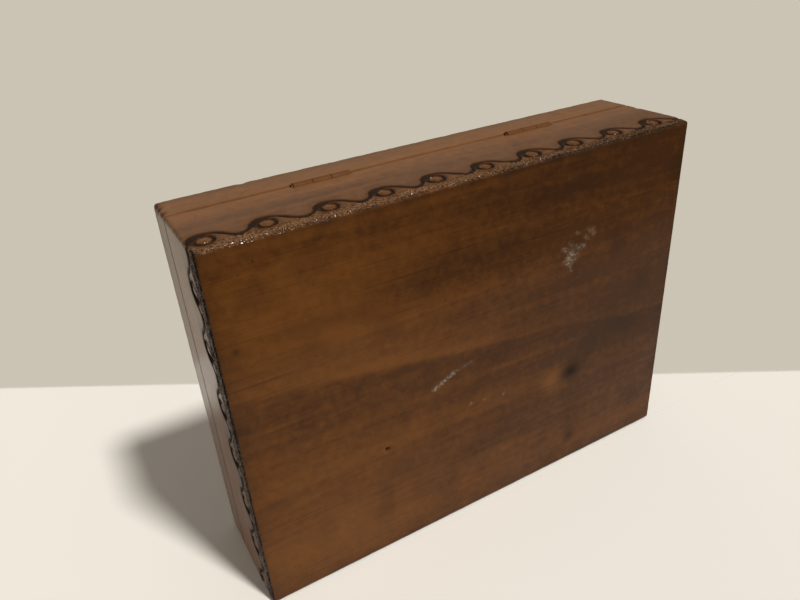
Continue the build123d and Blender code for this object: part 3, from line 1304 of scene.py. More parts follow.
class Graph:
    """A node tree with short ways to add nodes and join them."""

    def __init__(self, tree: bpy.types.NodeTree) -> None:
        """Wraps a node tree and clears it."""
        self.tree = tree
        tree.nodes.clear()

    def add(
        self, kind: str, inputs: dict[str | int, object] | None = None, **settings: object
    ) -> bpy.types.Node:
        """Adds a node, sets it up and joins what leads into it.

        Args:
            kind: Type of the node.
            inputs: Values or sockets by the name or number of the input they go to.
            **settings: Other properties of the node.

        Returns:
            The new node.
        """
        node = self.tree.nodes.new(kind)
        for name, value in settings.items():
            setattr(node, name, value)
        for name, value in (inputs or {}).items():
            if isinstance(value, bpy.types.NodeSocket):
                self.tree.links.new(value, node.inputs[name])
            else:
                node.inputs[name].default_value = value
        return node

    def math(self, operation: str, *values: object, clamp: bool = False) -> bpy.types.NodeSocket:
        """Adds a sum on numbers and gives its result."""
        node = self.add("ShaderNodeMath", dict(enumerate(values)), operation=operation, use_clamp=clamp)
        return node.outputs[0]

    def swing(
        self, noise: object, amount: float, base: object, clamp: bool = False
    ) -> bpy.types.NodeSocket:
        """Adds to a base what a noise has above its middle of 0.5, times an amount."""
        return self.math("MULTIPLY_ADD", self.math("SUBTRACT", noise, 0.5), amount, base, clamp=clamp)

    def ramp(self, value: object, low: float, high: float) -> bpy.types.NodeSocket:
        """Maps a number smoothly from 0 at low to 1 at high."""
        inputs = {"Value": value, "From Min": low, "From Max": high}
        return self.add("ShaderNodeMapRange", inputs, interpolation_type="SMOOTHSTEP").outputs["Result"]

    def mix(self, share: object, first: object, second: object, blend: str = "MIX") -> bpy.types.NodeSocket:
        """Mixes two colours by a share and gives the result."""
        inputs = {0: share, 6: first, 7: second}
        return self.add("ShaderNodeMix", inputs, data_type="RGBA", blend_type=blend).outputs[2]

    def cover(self, base: object, coats: tuple[tuple[object, float, Colour], ...]) -> bpy.types.NodeSocket:
        """Lays colours over a base one by one, each by a share of 0 to 1 times the most it may cover.

        Args:
            base: Colour to start from.
            coats: Share, most and colour of each, in the order that they are laid.

        Returns:
            The covered colour.
        """
        for share, most, colour in coats:
            base = self.mix(self.math("MULTIPLY", share, most, clamp=True), base, opaque(colour))
        return base

    def dot(self, first: object, second: object) -> bpy.types.NodeSocket:
        """Adds the product of two vectors, which for unit ones is the cosine of the angle between them."""
        inputs = {0: first, 1: second}
        return self.add("ShaderNodeVectorMath", inputs, operation="DOT_PRODUCT").outputs["Value"]

    def here(self) -> bpy.types.NodeSocket:
        """The shaded place in its object's own axes, in metres."""
        return self.add("ShaderNodeTexCoord").outputs["Object"]

    def stretched(self, place: object, scale: tuple[float, ...], shift: float = 0.0) -> bpy.types.NodeSocket:
        """Adds a mapping that scales a place along each axis and shifts it by the same along all."""
        inputs = {"Vector": place, "Location": (shift,) * 3, "Scale": scale}
        return self.add("ShaderNodeMapping", inputs).outputs[0]

    def bump(self, height: object, strength: float, reach_m: float, **normal: object) -> bpy.types.NodeSocket:
        """Adds a bump of a height, on the true normal or on the one given as Normal."""
        inputs = {"Strength": strength, "Distance": reach_m, "Height": height, **normal}
        return self.add("ShaderNodeBump", inputs).outputs["Normal"]

    def principled(self, inputs: dict[str, object]) -> bpy.types.NodeSocket:
        """Adds the principled shader and gives what it shades."""
        return self.add("ShaderNodeBsdfPrincipled", inputs).outputs[0]

    def attribute(self, name: str) -> bpy.types.NodeSocket:
        """Number that the points of a piece carry under a name, 0 where they carry none."""
        return self.add("ShaderNodeAttribute", attribute_name=name).outputs["Fac"]

    def noise(
        self, vector: object, scale: float, detail: float, distortion: float = 0.0
    ) -> bpy.types.NodeSocket:
        """Noise at a place, from 0 to 1."""
        inputs = {"Vector": vector, "Scale": scale, "Detail": detail, "Distortion": distortion}
        return self.add("ShaderNodeTexNoise", inputs).outputs["Fac"]


def new_material(name: str) -> tuple[bpy.types.Material, Graph]:
    """Makes a material and its empty graph.

    Args:
        name: Name of the material.

    Returns:
        The material and its graph.
    """
    made = bpy.data.materials.new(name)
    made.use_nodes = True
    return made, Graph(made.node_tree)


class EffectGroup:
    """A node group that several finishes share, made once and placed in each by name."""

    name = ""
    inputs: tuple[tuple[str, str], ...] = ()
    outputs: tuple[tuple[str, str], ...] = ()

    def tree(self) -> bpy.types.NodeTree:
        """The group's node tree, made the first time it is asked for.

        Returns:
            The tree.
        """
        made = bpy.data.node_groups.get(self.name)
        if made is not None:
            return made
        tree = bpy.data.node_groups.new(self.name, "ShaderNodeTree")
        graph = Graph(tree)
        for in_out, sockets in (("INPUT", self.inputs), ("OUTPUT", self.outputs)):
            for name, kind in sockets:
                tree.interface.new_socket(name, in_out=in_out, socket_type=f"NodeSocket{kind}")
        source = graph.add("NodeGroupInput").outputs
        graph.add("NodeGroupOutput", self.wire(graph, source))
        return tree

    def wire(self, graph: Graph, source: bpy.types.bpy_prop_collection) -> dict[str, bpy.types.NodeSocket]:
        """Builds the inside of the group.

        Args:
            graph: The group's graph.
            source: Sockets of the group's inputs.

        Returns:
            What leads to each output, by name.
        """
        raise NotImplementedError

    def place(self, graph: Graph, inputs: dict[str, object]) -> bpy.types.bpy_prop_collection:
        """Places the group in a graph and gives its outputs."""
        return graph.add("ShaderNodeGroup", inputs, node_tree=self.tree()).outputs


class WoodFigure(EffectGroup):
    """Broad figure, fine fibres and pores of wood, for places already stretched along the grain."""

    name = "wood_figure"
    inputs = (("Place", "Vector"),)
    outputs = (("Figure", "Float"), ("Fibre", "Float"), ("Pores", "Float"))

    def wire(self, graph: Graph, source: bpy.types.bpy_prop_collection) -> dict[str, bpy.types.NodeSocket]:
        """Three noises of rising fineness. The pores are short dark streaks where the finest is low.

        Args:
            graph: The group's graph.
            source: Sockets of the group's inputs.

        Returns:
            What leads to each output, by name.
        """
        place = source["Place"]
        slow = graph.noise(place, 0.16, 3.0, 0.8)
        bands = graph.noise(place, 0.55, 4.0, 1.2)
        figure = graph.math("MULTIPLY_ADD", bands, 0.45, graph.math("MULTIPLY", slow, 0.55))
        fibre = graph.noise(place, 3.2, 5.0, 0.4)
        pores = graph.ramp(graph.noise(graph.stretched(place, (1.6, 7.0, 7.0)), 1.0, 2.0), 0.40, 0.28)
        return {"Figure": graph.ramp(figure, 0.22, 0.78), "Fibre": fibre, "Pores": pores}


class EdgeWear(EffectGroup):
    """Where edges and corners are rubbed: a normal rounded over a small radius leaves the true one there."""

    name = "edge_wear"
    inputs = (("Radius", "Float"), ("Reach", "Float"))
    outputs = (("Wear", "Float"),)

    def wire(self, graph: Graph, source: bpy.types.bpy_prop_collection) -> dict[str, bpy.types.NodeSocket]:
        """The wear is high where the rounded normal turns away, broken up by noise.

        Args:
            graph: The group's graph.
            source: Sockets of the group's inputs.

        Returns:
            What leads to each output, by name.
        """
        rounded = graph.add("ShaderNodeBevel", {"Radius": source["Radius"]}, samples=4).outputs["Normal"]
        true = graph.add("ShaderNodeNewGeometry").outputs["Normal"]
        edge = graph.math("SUBTRACT", 1.0, graph.dot(rounded, true))
        patchy = graph.ramp(graph.noise(graph.here(), 260.0, 3.0), 0.3, 0.7)
        reached = graph.math("DIVIDE", edge, source["Reach"], clamp=True)
        return {"Wear": graph.math("MULTIPLY", reached, patchy)}


class Patina(EffectGroup):
    """Handling marks: patches of grease and dust that change the gloss, mottle, and specks and flecks."""

    name = "patina"
    inputs = (("Scale", "Float"),)
    outputs = (("Patches", "Float"), ("Specks", "Float"), ("Mottle", "Float"), ("Flecks", "Float"))

    def wire(self, graph: Graph, source: bpy.types.bpy_prop_collection) -> dict[str, bpy.types.NodeSocket]:
        """Patches and mottle come from slow noises, and specks and flecks from one end of fast ones.

        Args:
            graph: The group's graph.
            source: Sockets of the group's inputs.

        Returns:
            What leads to each output, by name.
        """
        scaling = {0: graph.here(), "Scale": source["Scale"]}
        scaled = graph.add("ShaderNodeVectorMath", scaling, operation="SCALE").outputs[0]
        patches = graph.noise(scaled, 1.0, 4.0, 0.5)
        specks = graph.ramp(graph.noise(scaled, 26.0, 1.0), 0.27, 0.21)
        mottle = graph.noise(scaled, 10.0, 6.0, 0.6)
        flecks = graph.ramp(graph.noise(scaled, 30.0, 4.0, 0.3), 0.47, 0.57)
        return {"Patches": patches, "Specks": specks, "Mottle": mottle, "Flecks": flecks}


@dataclass(frozen=True)
class WoodFinish:
    """Old varnished wood with burnt carving, worn high places and a punched ground."""

    name: str
    grain: Grain
    light: Colour
    dark: Colour
    shift: float = 0.0
    # colour of burnt carving and dirt, and of the painted shade carried with them
    burnt: Colour = (0.016, 0.010, 0.007)
    warm: Colour = (0.30, 0.115, 0.030)
    rubbed: Colour = (0.40, 0.20, 0.085)
    scuffed: Colour = (0.40, 0.33, 0.24)
    roughness: float = 0.46
    specular: float = 0.1
    coat: float = 0.38
    ground_coat: float = 0.45
    coat_roughness: float = 0.13
    coat_ior: float = 1.5
    patina_scale: float = 38.0
    wear_radius_m: float = 0.0007
    wear_reach: float = 0.25
    streaks: float = 0.45
    mottling: float = 1.1
    edge_wear: float = 0.3
    patchiness: float = 0.30
    soot_roughness: float = 0.25
    ground_gloss: float = 0.10
    grit_m: float = 0.0005
    grit_strength: float = 0.8
    fibre_m: float = 0.00012
    fibre_strength: float = 0.22

    def material(self) -> bpy.types.Material:
        """Builds the material from the shared groups and the values that the points carry.

        Returns:
            The material.
        """
        made, graph = new_material(self.name)
        along_grain = graph.stretched(graph.here(), self.grain.value, self.shift)
        figure, fibre, pores = WoodFigure().place(graph, {"Place": along_grain})
        patches, specks, mottle, flecks = Patina().place(graph, {"Scale": self.patina_scale})
        wear = EdgeWear().place(graph, {"Radius": self.wear_radius_m, "Reach": self.wear_reach})["Wear"]
        # this layer also carries painted light on the underside: a highlight and the fall of light
        toned = graph.math("ADD", figure, graph.attribute("tone"), clamp=True)
        streaked = graph.swing(fibre, self.streaks, toned)
        streaked = graph.swing(mottle, self.mottling, streaked, clamp=True)
        ground, soot = graph.attribute("ground"), graph.attribute("soot")
        worn = graph.math("MAXIMUM", graph.math("MULTIPLY", wear, self.edge_wear), graph.attribute("worn"))
        scuffs = graph.math("MULTIPLY", graph.attribute("pale"), graph.math("ADD", flecks, 0.3), clamp=True)
        coats = (
            # this layer also carries painted light on the underside
            (graph.attribute("warm"), 1.0, self.warm),
            (pores, 0.45, self.burnt),
            (specks, 0.6, self.burnt),
            (ground, 0.15, self.burnt),
            (worn, 0.6, self.rubbed),
            # this layer also carries painted shade: at the arrises, in the dents and along the underside's
            # edges
            (soot, 0.93, self.burnt),
            (scuffs, 1.0, self.scuffed),
        )
        wood = graph.cover(graph.mix(streaked, opaque(self.dark), opaque(self.light)), coats)
        rough = graph.swing(patches, self.patchiness, self.roughness)
        rough = graph.math("MULTIPLY_ADD", soot, self.soot_roughness, rough)
        rough = graph.math("MULTIPLY_ADD", ground, -self.ground_gloss, rough, clamp=True)
        lost = graph.math("MAXIMUM", graph.math("MAXIMUM", soot, scuffs), graph.attribute("bare"))
        thick = graph.math("MULTIPLY_ADD", ground, self.ground_coat, self.coat)
        cover = graph.math("MULTIPLY", thick, graph.math("SUBTRACT", 1.0, lost, clamp=True), clamp=True)
        punched = graph.bump(graph.math("MULTIPLY", flecks, ground), self.grit_strength, self.grit_m)
        fibres = graph.math("MULTIPLY_ADD", pores, -0.6, fibre)
        inputs = {
            "Base Color": wood,
            "Roughness": rough,
            "Specular IOR Level": self.specular,
            "Coat Weight": cover,
            "Coat Roughness": self.coat_roughness,
            "Coat IOR": self.coat_ior,
            "Coat Normal": punched,
            "Normal": graph.bump(fibres, self.fibre_strength, self.fibre_m, Normal=punched),
        }
        graph.add("ShaderNodeOutputMaterial", {"Surface": graph.principled(inputs)})
        return made


@dataclass(frozen=True)
class MetalFinish:
    """Tarnished metal, brighter where edges are rubbed and with fine scratches.

    The wood's varnish has run over what shows at the back, and covers it between two distances along Y.
    """

    name: str
    clean: Colour
    tarnished: Colour
    crust: Colour
    roughness: float
    specular: float = 0.2
    patina_scale: float = 320.0
    wear_radius_m: float = 0.0002
    wear_reach: float = 0.2
    scratch: float = 0.12
    scratch_m: float = 0.00003
    scratch_strength: float = 0.15
    brushing: tuple[float, float, float] = (500.0, 6000.0, 6000.0)
    varnish: Colour = (0.15, 0.056, 0.014)
    varnished_m: tuple[float, float] = (0.0550, 0.0557)
    varnish_cover: float = 0.92

    def material(self) -> bpy.types.Material:
        """Builds the material from the shared groups.

        Returns:
            The material.
        """
        made, graph = new_material(self.name)
        patches, specks, *_ = Patina().place(graph, {"Scale": self.patina_scale})
        wear = EdgeWear().place(graph, {"Radius": self.wear_radius_m, "Reach": self.wear_reach})["Wear"]
        metal = graph.mix(graph.ramp(patches, 0.35, 0.65), opaque(self.clean), opaque(self.tarnished))
        place = graph.here()
        back = graph.add("ShaderNodeSeparateXYZ", {0: place}).outputs["Y"]
        overrun = graph.math("MULTIPLY", graph.ramp(back, *self.varnished_m), self.varnish_cover)
        coats = ((specks, 0.8, self.crust), (wear, 0.7, self.clean), (overrun, 1.0, self.varnish))
        metal = graph.cover(metal, coats)
        scratches = graph.noise(graph.stretched(place, self.brushing), 1.0, 3.0)
        rough = graph.math("MULTIPLY_ADD", patches, 0.35, self.roughness - 0.17)
        rough = graph.math("MULTIPLY_ADD", scratches, self.scratch, rough, clamp=True)
        metallic = graph.math("MULTIPLY_ADD", specks, -0.8, 1.0)
        metallic = graph.math("SUBTRACT", metallic, overrun, clamp=True)
        inputs = {
            "Base Color": metal,
            "Metallic": metallic,
            "Roughness": rough,
            "Specular IOR Level": self.specular,
            "Normal": graph.bump(scratches, self.scratch_strength, self.scratch_m),
        }
        graph.add("ShaderNodeOutputMaterial", {"Surface": graph.principled(inputs)})
        return made


def dress(piece: bpy.types.Object, material: bpy.types.Material) -> None:
    """Gives a piece one material on all its faces."""
    piece.data.materials.clear()
    piece.data.materials.append(material)


@dataclass
class Carcass:
    """The body of the box: four mitred walls, the board under them and the divider between the wells."""

    sizes: BoxSizes
    wear: ArrisWear
    borders: dict[Side, ScrollBorder]
    figure: UndersideFigure
    finish: WoodFinish
    cross_finish: WoodFinish
    inner_finish: WoodFinish

    def build(self) -> list[bpy.types.Object]:
        """Builds the walls and the board in place of their nodes and dresses them.

        Returns:
            The new pieces.
        """
        long_wood, cross_wood = self.finish.material(), self.cross_finish.material()
        pieces = []
        for side, border in self.borders.items():
            name = f"body_{side.name.lower()}"
            piece = Wall(f"carved_{name}", side, self.sizes, self.wear, border).build()
            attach(piece, "box")
            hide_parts(name)
            dress(piece, long_wood if side.is_long else cross_wood)
            pieces.append(piece)
        board = Board("planted_board", self.sizes, self.wear, self.borders, marks=self.figure).build()
        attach(board, "box")
        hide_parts("bottom_board")
        dress(board, long_wood)
        dress(bpy.data.objects["divider"], self.inner_finish.material())
        return [*pieces, board]


@dataclass
class Lid:
    """The lid: four mitred rails under a top board that carries the same border round its field."""

    sizes: BoxSizes
    wear: ArrisWear
    borders: dict[Side, ScrollBorder]
    finish: WoodFinish
    cross_finish: WoodFinish

    def build(self) -> list[bpy.types.Object]:
        """Builds the rails and the top in place of their nodes and dresses them.

        Returns:
            The new pieces.
        """
        long_wood, cross_wood = self.finish.material(), self.cross_finish.material()
        pieces = []
        for side in Side:
            name = f"lid_{side.name.lower()}"
            piece = Wall(f"worn_{name}", side, self.sizes, self.wear, lid=True).build()
            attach(piece, "lid")
            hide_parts(name)
            dress(piece, long_wood if side.is_long else cross_wood)
            pieces.append(piece)
        sizes = {"fine": 0.34, "face_step": 2.5, "margin": 13.0}
        top = Board("carved_lid_top", self.sizes, self.wear, self.borders, lid=True, **sizes).build()
        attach(top, "lid")
        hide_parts("lid_top")
        dress(top, long_wood)
        return [*pieces, top]


@dataclass
class Hinges:
    """The two let-in butt hinges with their pins and screws, which keep their own meshes."""

    brass: MetalFinish
    steel: MetalFinish

    def build(self) -> list[bpy.types.Object]:
        """Dresses the leaves in brass and the pins and screws in steel.

        Returns:
            The dressed nodes.
        """
        brass, steel = self.brass.material(), self.steel.material()
        nodes = [piece for piece in bpy.data.objects if piece.name.startswith("hinge_")]
        for piece in nodes:
            dress(piece, brass if piece.name.endswith("leaf") else steel)
        return nodes


@dataclass(frozen=True)
class Photographer:
    """The camera of the photograph: where it stands, where it looks, and its lens.

    Lengths are in millimetres.
    """

    place: tuple[float, float, float] = (97.90, 114.55, -136.22)
    right: tuple[float, float, float] = (-0.86622, -0.06576, -0.49531)
    up: tuple[float, float, float] = (-0.29260, 0.87031, 0.39617)
    forward: tuple[float, float, float] = (-0.40502, -0.48809, 0.77312)
    lens: float = 30.92
    sensor: float = 36.0
    nearest: float = 10.0

    def build(self) -> bpy.types.Object:
        """Makes the camera and lets the scene look through it.

        Returns:
            The camera.
        """
        data = bpy.data.cameras.new("photographer")
        data.lens = self.lens
        data.sensor_width = self.sensor
        data.clip_start = self.nearest * MM
        camera = add_object("photographer", data)
        backward = tuple(-one for one in self.forward)
        turn = Matrix((self.right, self.up, backward)).transposed().to_4x4()
        camera.matrix_world = Matrix.Translation(Vector(self.place) * MM) @ turn
        bpy.context.scene.camera = camera
        return camera


@dataclass(frozen=True)
class Lamp:
    """A distant lamp: the way its light travels, its strength, its spread and its colour."""

    name: str
    travels: tuple[float, float, float]
    strength: float
    spread_deg: float
    colour: Colour

    def build(self) -> bpy.types.Object:
        """Makes the lamp.

        Returns:
            The lamp.
        """
        data = bpy.data.lights.new(self.name, "SUN")
        data.energy = self.strength
        data.angle = radians(self.spread_deg)
        data.color = self.colour
        lamp = add_object(self.name, data)
        lamp.rotation_euler = Vector(self.travels).to_track_quat("-Z", "Y").to_euler()
        return lamp


@dataclass(frozen=True)
class Room:
    """The pale room round the box: plain for the camera, brighter on one side for what it lights.

    The span is the cosines of the angle to the bright side between which the light goes from dim to bright.
    """

    seen: Colour
    dim: Colour
    bright: Colour
    bright_from: tuple[float, float, float]
    span: tuple[float, float] = (-0.35, 0.9)

    def build(self) -> bpy.types.World:
        """Makes the world. Its light runs smoothly from dim to bright with the direction it comes from.

        Returns:
            The world.
        """
        world = bpy.data.worlds.new("room")
        world.use_nodes = True
        graph = Graph(world.node_tree)
        path = graph.add("ShaderNodeLightPath").outputs
        heading = graph.add("ShaderNodeTexCoord").outputs["Generated"]
        facing = graph.dot(heading, tuple(Vector(self.bright_from).normalized()))
        light = graph.mix(graph.ramp(facing, *self.span), opaque(self.dim), opaque(self.bright))
        colour = graph.mix(path["Is Camera Ray"], light, opaque(self.seen))
        shine = graph.add("ShaderNodeBackground", {"Color": colour, "Strength": 1.0})
        graph.add("ShaderNodeOutputWorld", {"Surface": shine.outputs[0]})
        bpy.context.scene.world = world
        return world


@dataclass(frozen=True)
class Fade:
    """Thins a surface out from one distance to another along a direction, or away from the origin."""

    start_m: float
    end_m: float
    heading: tuple[float, float, float] | None = None

    def wire(self, graph: Graph) -> bpy.types.NodeSocket:
        """Adds the nodes that give 0 where the surface is whole and 1 where it is gone.

        Args:
            graph: Graph of the material.

        Returns:
            The share that is gone.
        """
        if self.heading is None:
            lengths = graph.add("ShaderNodeVectorMath", {0: graph.here()}, operation="LENGTH").outputs
            return graph.ramp(lengths["Value"], self.start_m, self.end_m)
        return graph.ramp(graph.dot(graph.here(), self.heading), self.start_m, self.end_m)


@dataclass(frozen=True)
class Matt:
    """Plain matt paint that is seen from its front only and thins out with distance.

    Paint that needs layers shows above the ground only where the sight line came through that many clear
    ones. The ground is taken a little under the floor, so that no rounding decides.
    """

    name: str
    colour: Colour
    fades: tuple[Fade, ...]
    needs_layers: int = 0
    ground_m: float = -0.00007

    def material(self) -> bpy.types.Material:
        """Builds the material.

        Returns:
            The material.
        """
        made, graph = new_material(self.name)
        matt = {"Base Color": opaque(self.colour), "Roughness": 1.0, "Specular IOR Level": 0.0}
        clear = graph.add("ShaderNodeBsdfTransparent").outputs[0]
        hidden = graph.add("ShaderNodeNewGeometry").outputs["Backfacing"]
        for fade in self.fades:
            hidden = graph.math("MAXIMUM", hidden, fade.wire(graph))
        if self.needs_layers:
            layers = graph.add("ShaderNodeLightPath").outputs["Transparent Depth"]
            height = graph.add("ShaderNodeSeparateXYZ", {0: graph.here()}).outputs["Z"]
            short = graph.math("LESS_THAN", layers, self.needs_layers - 0.5)
            above = graph.math("GREATER_THAN", height, self.ground_m)
            hidden = graph.math("MAXIMUM", hidden, graph.math("MULTIPLY", short, above))
        mixed = graph.add("ShaderNodeMixShader", {0: hidden, 1: graph.principled(matt), 2: clear})
        graph.add("ShaderNodeOutputMaterial", {"Surface": mixed.outputs[0]})
        return made


def stage_piece(
    name: str, points: Array, faces: Array, paint: Matt, unseen_by: tuple[str, ...]
) -> bpy.types.Object:
    """Makes a piece of the stage.

    Args:
        name: Name of the piece.
        points: Its corners, in millimetres.
        faces: Its faces, as rows of indices.
        paint: What it is painted with.
        unseen_by: Kinds of rays that pass it by.

    Returns:
        The piece.
    """
    mesh = bpy.data.meshes.new(name)
    mesh.from_pydata((points * MM).tolist(), [], faces.tolist())
    piece = add_object(name, mesh)
    dress(piece, paint.material())
    for kind in unseen_by:
        setattr(piece, f"visible_{kind}", False)
    return piece


@dataclass(frozen=True)
class Floor:
    """Floor under the box, seen from above only, which keeps the box's shadow.

    It has several clear-backed layers. Lengths are in millimetres.
    """

    half: float = 600.0
    drop: float = 0.03
    layers: int = 2
    fade_m: tuple[float, float] = (0.28, 0.55)
    colour: Colour = (0.76, 0.70, 0.59)

    def build(self) -> bpy.types.Object:
        """Makes the floor as squares that face up, one close under the other.

        Returns:
            The floor.
        """
        half = self.half
        corners = np.array([(-half, -half), (half, -half), (half, half), (-half, half)])
        levels = -self.drop * np.arange(1, self.layers + 1)
        points = np.vstack([np.column_stack([corners, np.full(4, level)]) for level in levels])
        faces = np.arange(4 * self.layers).reshape(-1, 4)
        paint = Matt("floor_paper", self.colour, (Fade(*self.fade_m),))
        return stage_piece("floor", points, faces, paint, ("diffuse", "glossy", "transmission", "shadow"))


@dataclass(frozen=True)
class Table:
    """Table on which the photographed box stands on its front, seen only from below the floor.

    Lengths are in millimetres. The hole is under the flat of the box's front. The far edge is a line: its
    height at the middle of the box, and how much it rises along X.
    """

    front: float
    layers: int
    gap: float = 0.02
    half_x: float = 420.0
    low_z: float = -150.0
    high_z: float = 190.0
    hole_x: float = 74.0
    hole_z: tuple[float, float] = (1.0, 35.7)
    slope: float = 0.6453
    edge: float = 81.84
    edge_blur_m: float = 0.002
    low_fade_m: tuple[float, float] = (-0.1, -0.14)
    colour: Colour = (0.98, 0.95, 0.89)

    def build(self) -> bpy.types.Object:
        """Makes the table as a sheet of nine faces, less the one in the middle.

        Returns:
            The table.
        """
        across = np.array([-self.half_x, -self.hole_x, self.hole_x, self.half_x])
        up = np.array([self.low_z, *self.hole_z, self.high_z])
        x, z = np.meshgrid(across, up)
        points = np.stack([x, 0 * x - self.front - self.gap, z], axis=-1).reshape(-1, 3)
        cells = [(row, column) for row in range(3) for column in range(3) if (row, column) != (1, 1)]
        corner = np.array([4 * row + column for row, column in cells])
        faces = np.stack([corner, corner + 4, corner + 5, corner + 1], axis=-1)
        toward = Vector((-self.slope, 0.0, 1.0)).normalized()
        end_m = self.edge * toward.z * MM
        far_fade = Fade(end_m - self.edge_blur_m, end_m, tuple(toward))
        fades = (far_fade, Fade(*self.low_fade_m, tuple(UPWARD)))
        paint = Matt("table_paint", self.colour, fades, self.layers)
        return stage_piece("table", points, faces, paint, ("diffuse", "transmission", "shadow"))


# Knocks in the outer arrises, by the photo's near corner and by guess at the hidden ones.
DENTS = (
    Dent((75.0, 56.0, 31.5), 1.3, 0.5),
    Dent((75.0, 56.0, 33.8), 0.9, 0.4),
    Dent((75.0, 56.0, 27.0), 1.0, 0.35),
    Dent((75.0, 56.0, 36.7), 2.2, 0.15),
    Dent((52.0, 56.0, 36.7), 1.1, 0.35),
    Dent((-75.0, -56.0, 36.7), 2.0, 0.4),
    Dent((-75.0, 56.0, 20.0), 1.0, 0.3),
    Dent((75.0, -56.0, 14.0), 1.0, 0.35),
)
# The scrolls of each side: where the first one is, their spacing and their number.
BORDERS = {
    Side.FRONT: ScrollBorder(first=-70.6, pitch=15.1, count=10, seed=11),
    Side.RIGHT: ScrollBorder(first=-53.0, pitch=16.25, count=7, seed=12, ground_soot=0.75),
    Side.BACK: ScrollBorder(first=-71.1, pitch=15.1, count=10, seed=13, ground_soot=0.0, ground_drift=0.5),
    Side.LEFT: ScrollBorder(first=-52.2, pitch=16.25, count=7, seed=14),
}
# Lighter, darker and warmer patches of the underside, with the knot and the dark bands. The broad patches
# that make it lighter towards +X and -Y and darker towards -X are partly painted light over the wood's own
# colour.
ZONES_AND_PAINTED_LIGHT = (
    Zone((50.0, 30.0), (24.0, 16.0), "warm", 0.30),
    # partly painted light: lighter towards +X, nearer the highlight
    Zone((50.0, 30.0), (30.0, 20.0), "tone", 0.25),
    # partly painted light: darker towards -X, away from the highlight
    Zone((-65.0, 15.0), (75.0, 60.0), "tone", -0.55),
    # partly painted light: lighter towards -Y, the table's bounce and reflection
    Zone((60.0, -45.0), (40.0, 22.0), "tone", 0.25),
    Zone((-28.0, 47.0), (52.0, 8.0), "soot", 0.30),
    Zone((-54.0, -7.0), (24.0, 14.0), "soot", 0.38),
    # partly painted light: warmer towards -Y, the table's bounce
    Zone((50.0, -38.0), (32.0, 20.0), "warm", 0.34),
    Zone((-26.2, -18.4), (3.4, 3.4), "warm", 0.9),
    Zone((-26.6, -18.4), (5.0, 4.0), "tone", 0.7),
    Zone((-33.2, -18.1), (4.2, 3.4), "soot", 0.5),
    Zone((-36.0, -18.4), (6.0, 3.6), "soot", 0.25),
    Zone((44.0, 29.0), (24.0, 2.6), "soot", 0.28),
    Zone((12.0, 36.0), (26.0, 3.0), "soot", 0.30),
    Zone((57.0, 22.0), (14.0, 2.2), "soot", 0.25),
    Zone((35.0, -36.0), (2.6, 8.0), "soot", 0.26),
    Zone((25.0, -40.0), (2.2, 9.0), "soot", 0.20),
    Zone((13.0, -41.0), (3.0, 7.0), "soot", 0.24),
    Zone((-35.0, -38.0), (3.4, 14.0), "soot", 0.22),
)
# Scratches, pinholes, specks and scuffs of the underside.
MARKS = (
    Mark((17.8, -3.9), (10.9, -0.6), 0.5, "pale", 1.0, 0.08),
    Mark((10.9, -0.6), (4.8, 0.8), 0.4, "pale", 0.25),
    Mark((34.1, -18.0), (34.1, -18.0), 0.6, "soot", 1.0, 0.9),
    Mark((-35.2, -45.9), (-35.2, -45.9), 2.2, "soot", 0.55, 0.08),
    Mark((70.1, 29.3), (70.1, 29.3), 0.9, "soot", 0.5, 0.1),
    Mark((5.3, -14.2), (5.3, -14.2), 0.5, "pale", 0.8, 0.05),
    Mark((0.3, -14.8), (0.3, -14.8), 0.45, "pale", 0.7, 0.05),
    Mark((-6.9, -15.9), (-6.9, -15.9), 0.5, "pale", 0.7, 0.05),
    *scuff((-32.2, 24.6), (4.2, 4.4), 20, 61),
    *scuff((-36.5, 31.0), (6.0, 3.0), 4, 62),
)


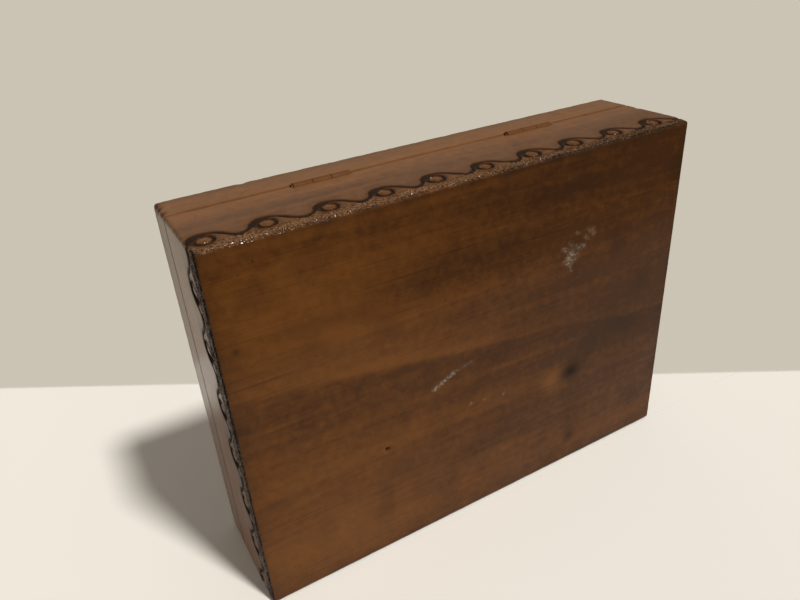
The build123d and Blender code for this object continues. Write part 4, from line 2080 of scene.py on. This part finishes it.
def main() -> None:
    """Builds the box and its finishes, then the camera, the lamps, the room, the floor and the table."""
    logging.basicConfig(level=logging.INFO, format="%(name)s: %(message)s")
    sizes = BoxSizes.from_frame()
    wear = ArrisWear(sizes, DENTS)
    walnut = {"light": (0.230, 0.082, 0.016), "dark": (0.098, 0.034, 0.008)}
    pale_walnut = {"light": (0.230, 0.084, 0.018), "dark": (0.130, 0.048, 0.011)}
    body_long = WoodFinish("body_wood_long", Grain.ALONG_X, **walnut)
    body_cross = WoodFinish("body_wood_cross", Grain.ALONG_Y, shift=0.7, coat=0.48, **walnut)
    lid_long = WoodFinish("lid_wood_long", Grain.ALONG_X, shift=1.9, **pale_walnut)
    lid_cross = WoodFinish("lid_wood_cross", Grain.ALONG_Y, shift=2.6, coat=0.48, **pale_walnut)
    plain = {"light": (0.30, 0.16, 0.07), "dark": (0.17, 0.085, 0.035)}
    inner = WoodFinish("inner_wood_plain", Grain.ALONG_Y, coat=0.1, roughness=0.6, **plain)
    brass = MetalFinish("aged_brass", (0.15, 0.075, 0.03), (0.055, 0.028, 0.013), (0.02, 0.014, 0.010), 0.6)
    steel = MetalFinish("dull_steel", (0.16, 0.14, 0.12), (0.06, 0.05, 0.045), (0.04, 0.024, 0.016), 0.6)
    underside = UndersideFigure(ZONES_AND_PAINTED_LIGHT, MARKS, sizes.half_length, sizes.half_width)
    parts = (
        Carcass(sizes, wear, BORDERS, underside, body_long, body_cross, inner),
        Lid(sizes, wear, BORDERS, lid_long, lid_cross),
        Hinges(brass, steel),
    )
    for part in parts:
        for piece in part.build():
            log.info("%s: %d faces", piece.name, len(piece.data.polygons))
    Photographer().build()
    Lamp("window", (0.201, -0.845, 0.497), 2.5, 7.0, (1.0, 0.97, 0.92)).build()
    Lamp("fill", (0.30, 0.60, -0.74), 1.4, 12.0, (1.0, 0.98, 0.95)).build()
    Lamp("bounce", (0.10, -0.93, 0.35), 0.35, 90.0, (1.0, 0.98, 0.95)).build()
    Room((0.60, 0.55, 0.46), (0.06, 0.056, 0.05), (0.57, 0.51, 0.41), (0.1, -0.6, 0.8)).build()
    floor = Floor()
    floor.build()
    Table(sizes.half_width, floor.layers).build()
    bpy.context.scene.view_settings.view_transform = "Standard"


if __name__ == "__main__":
    main()
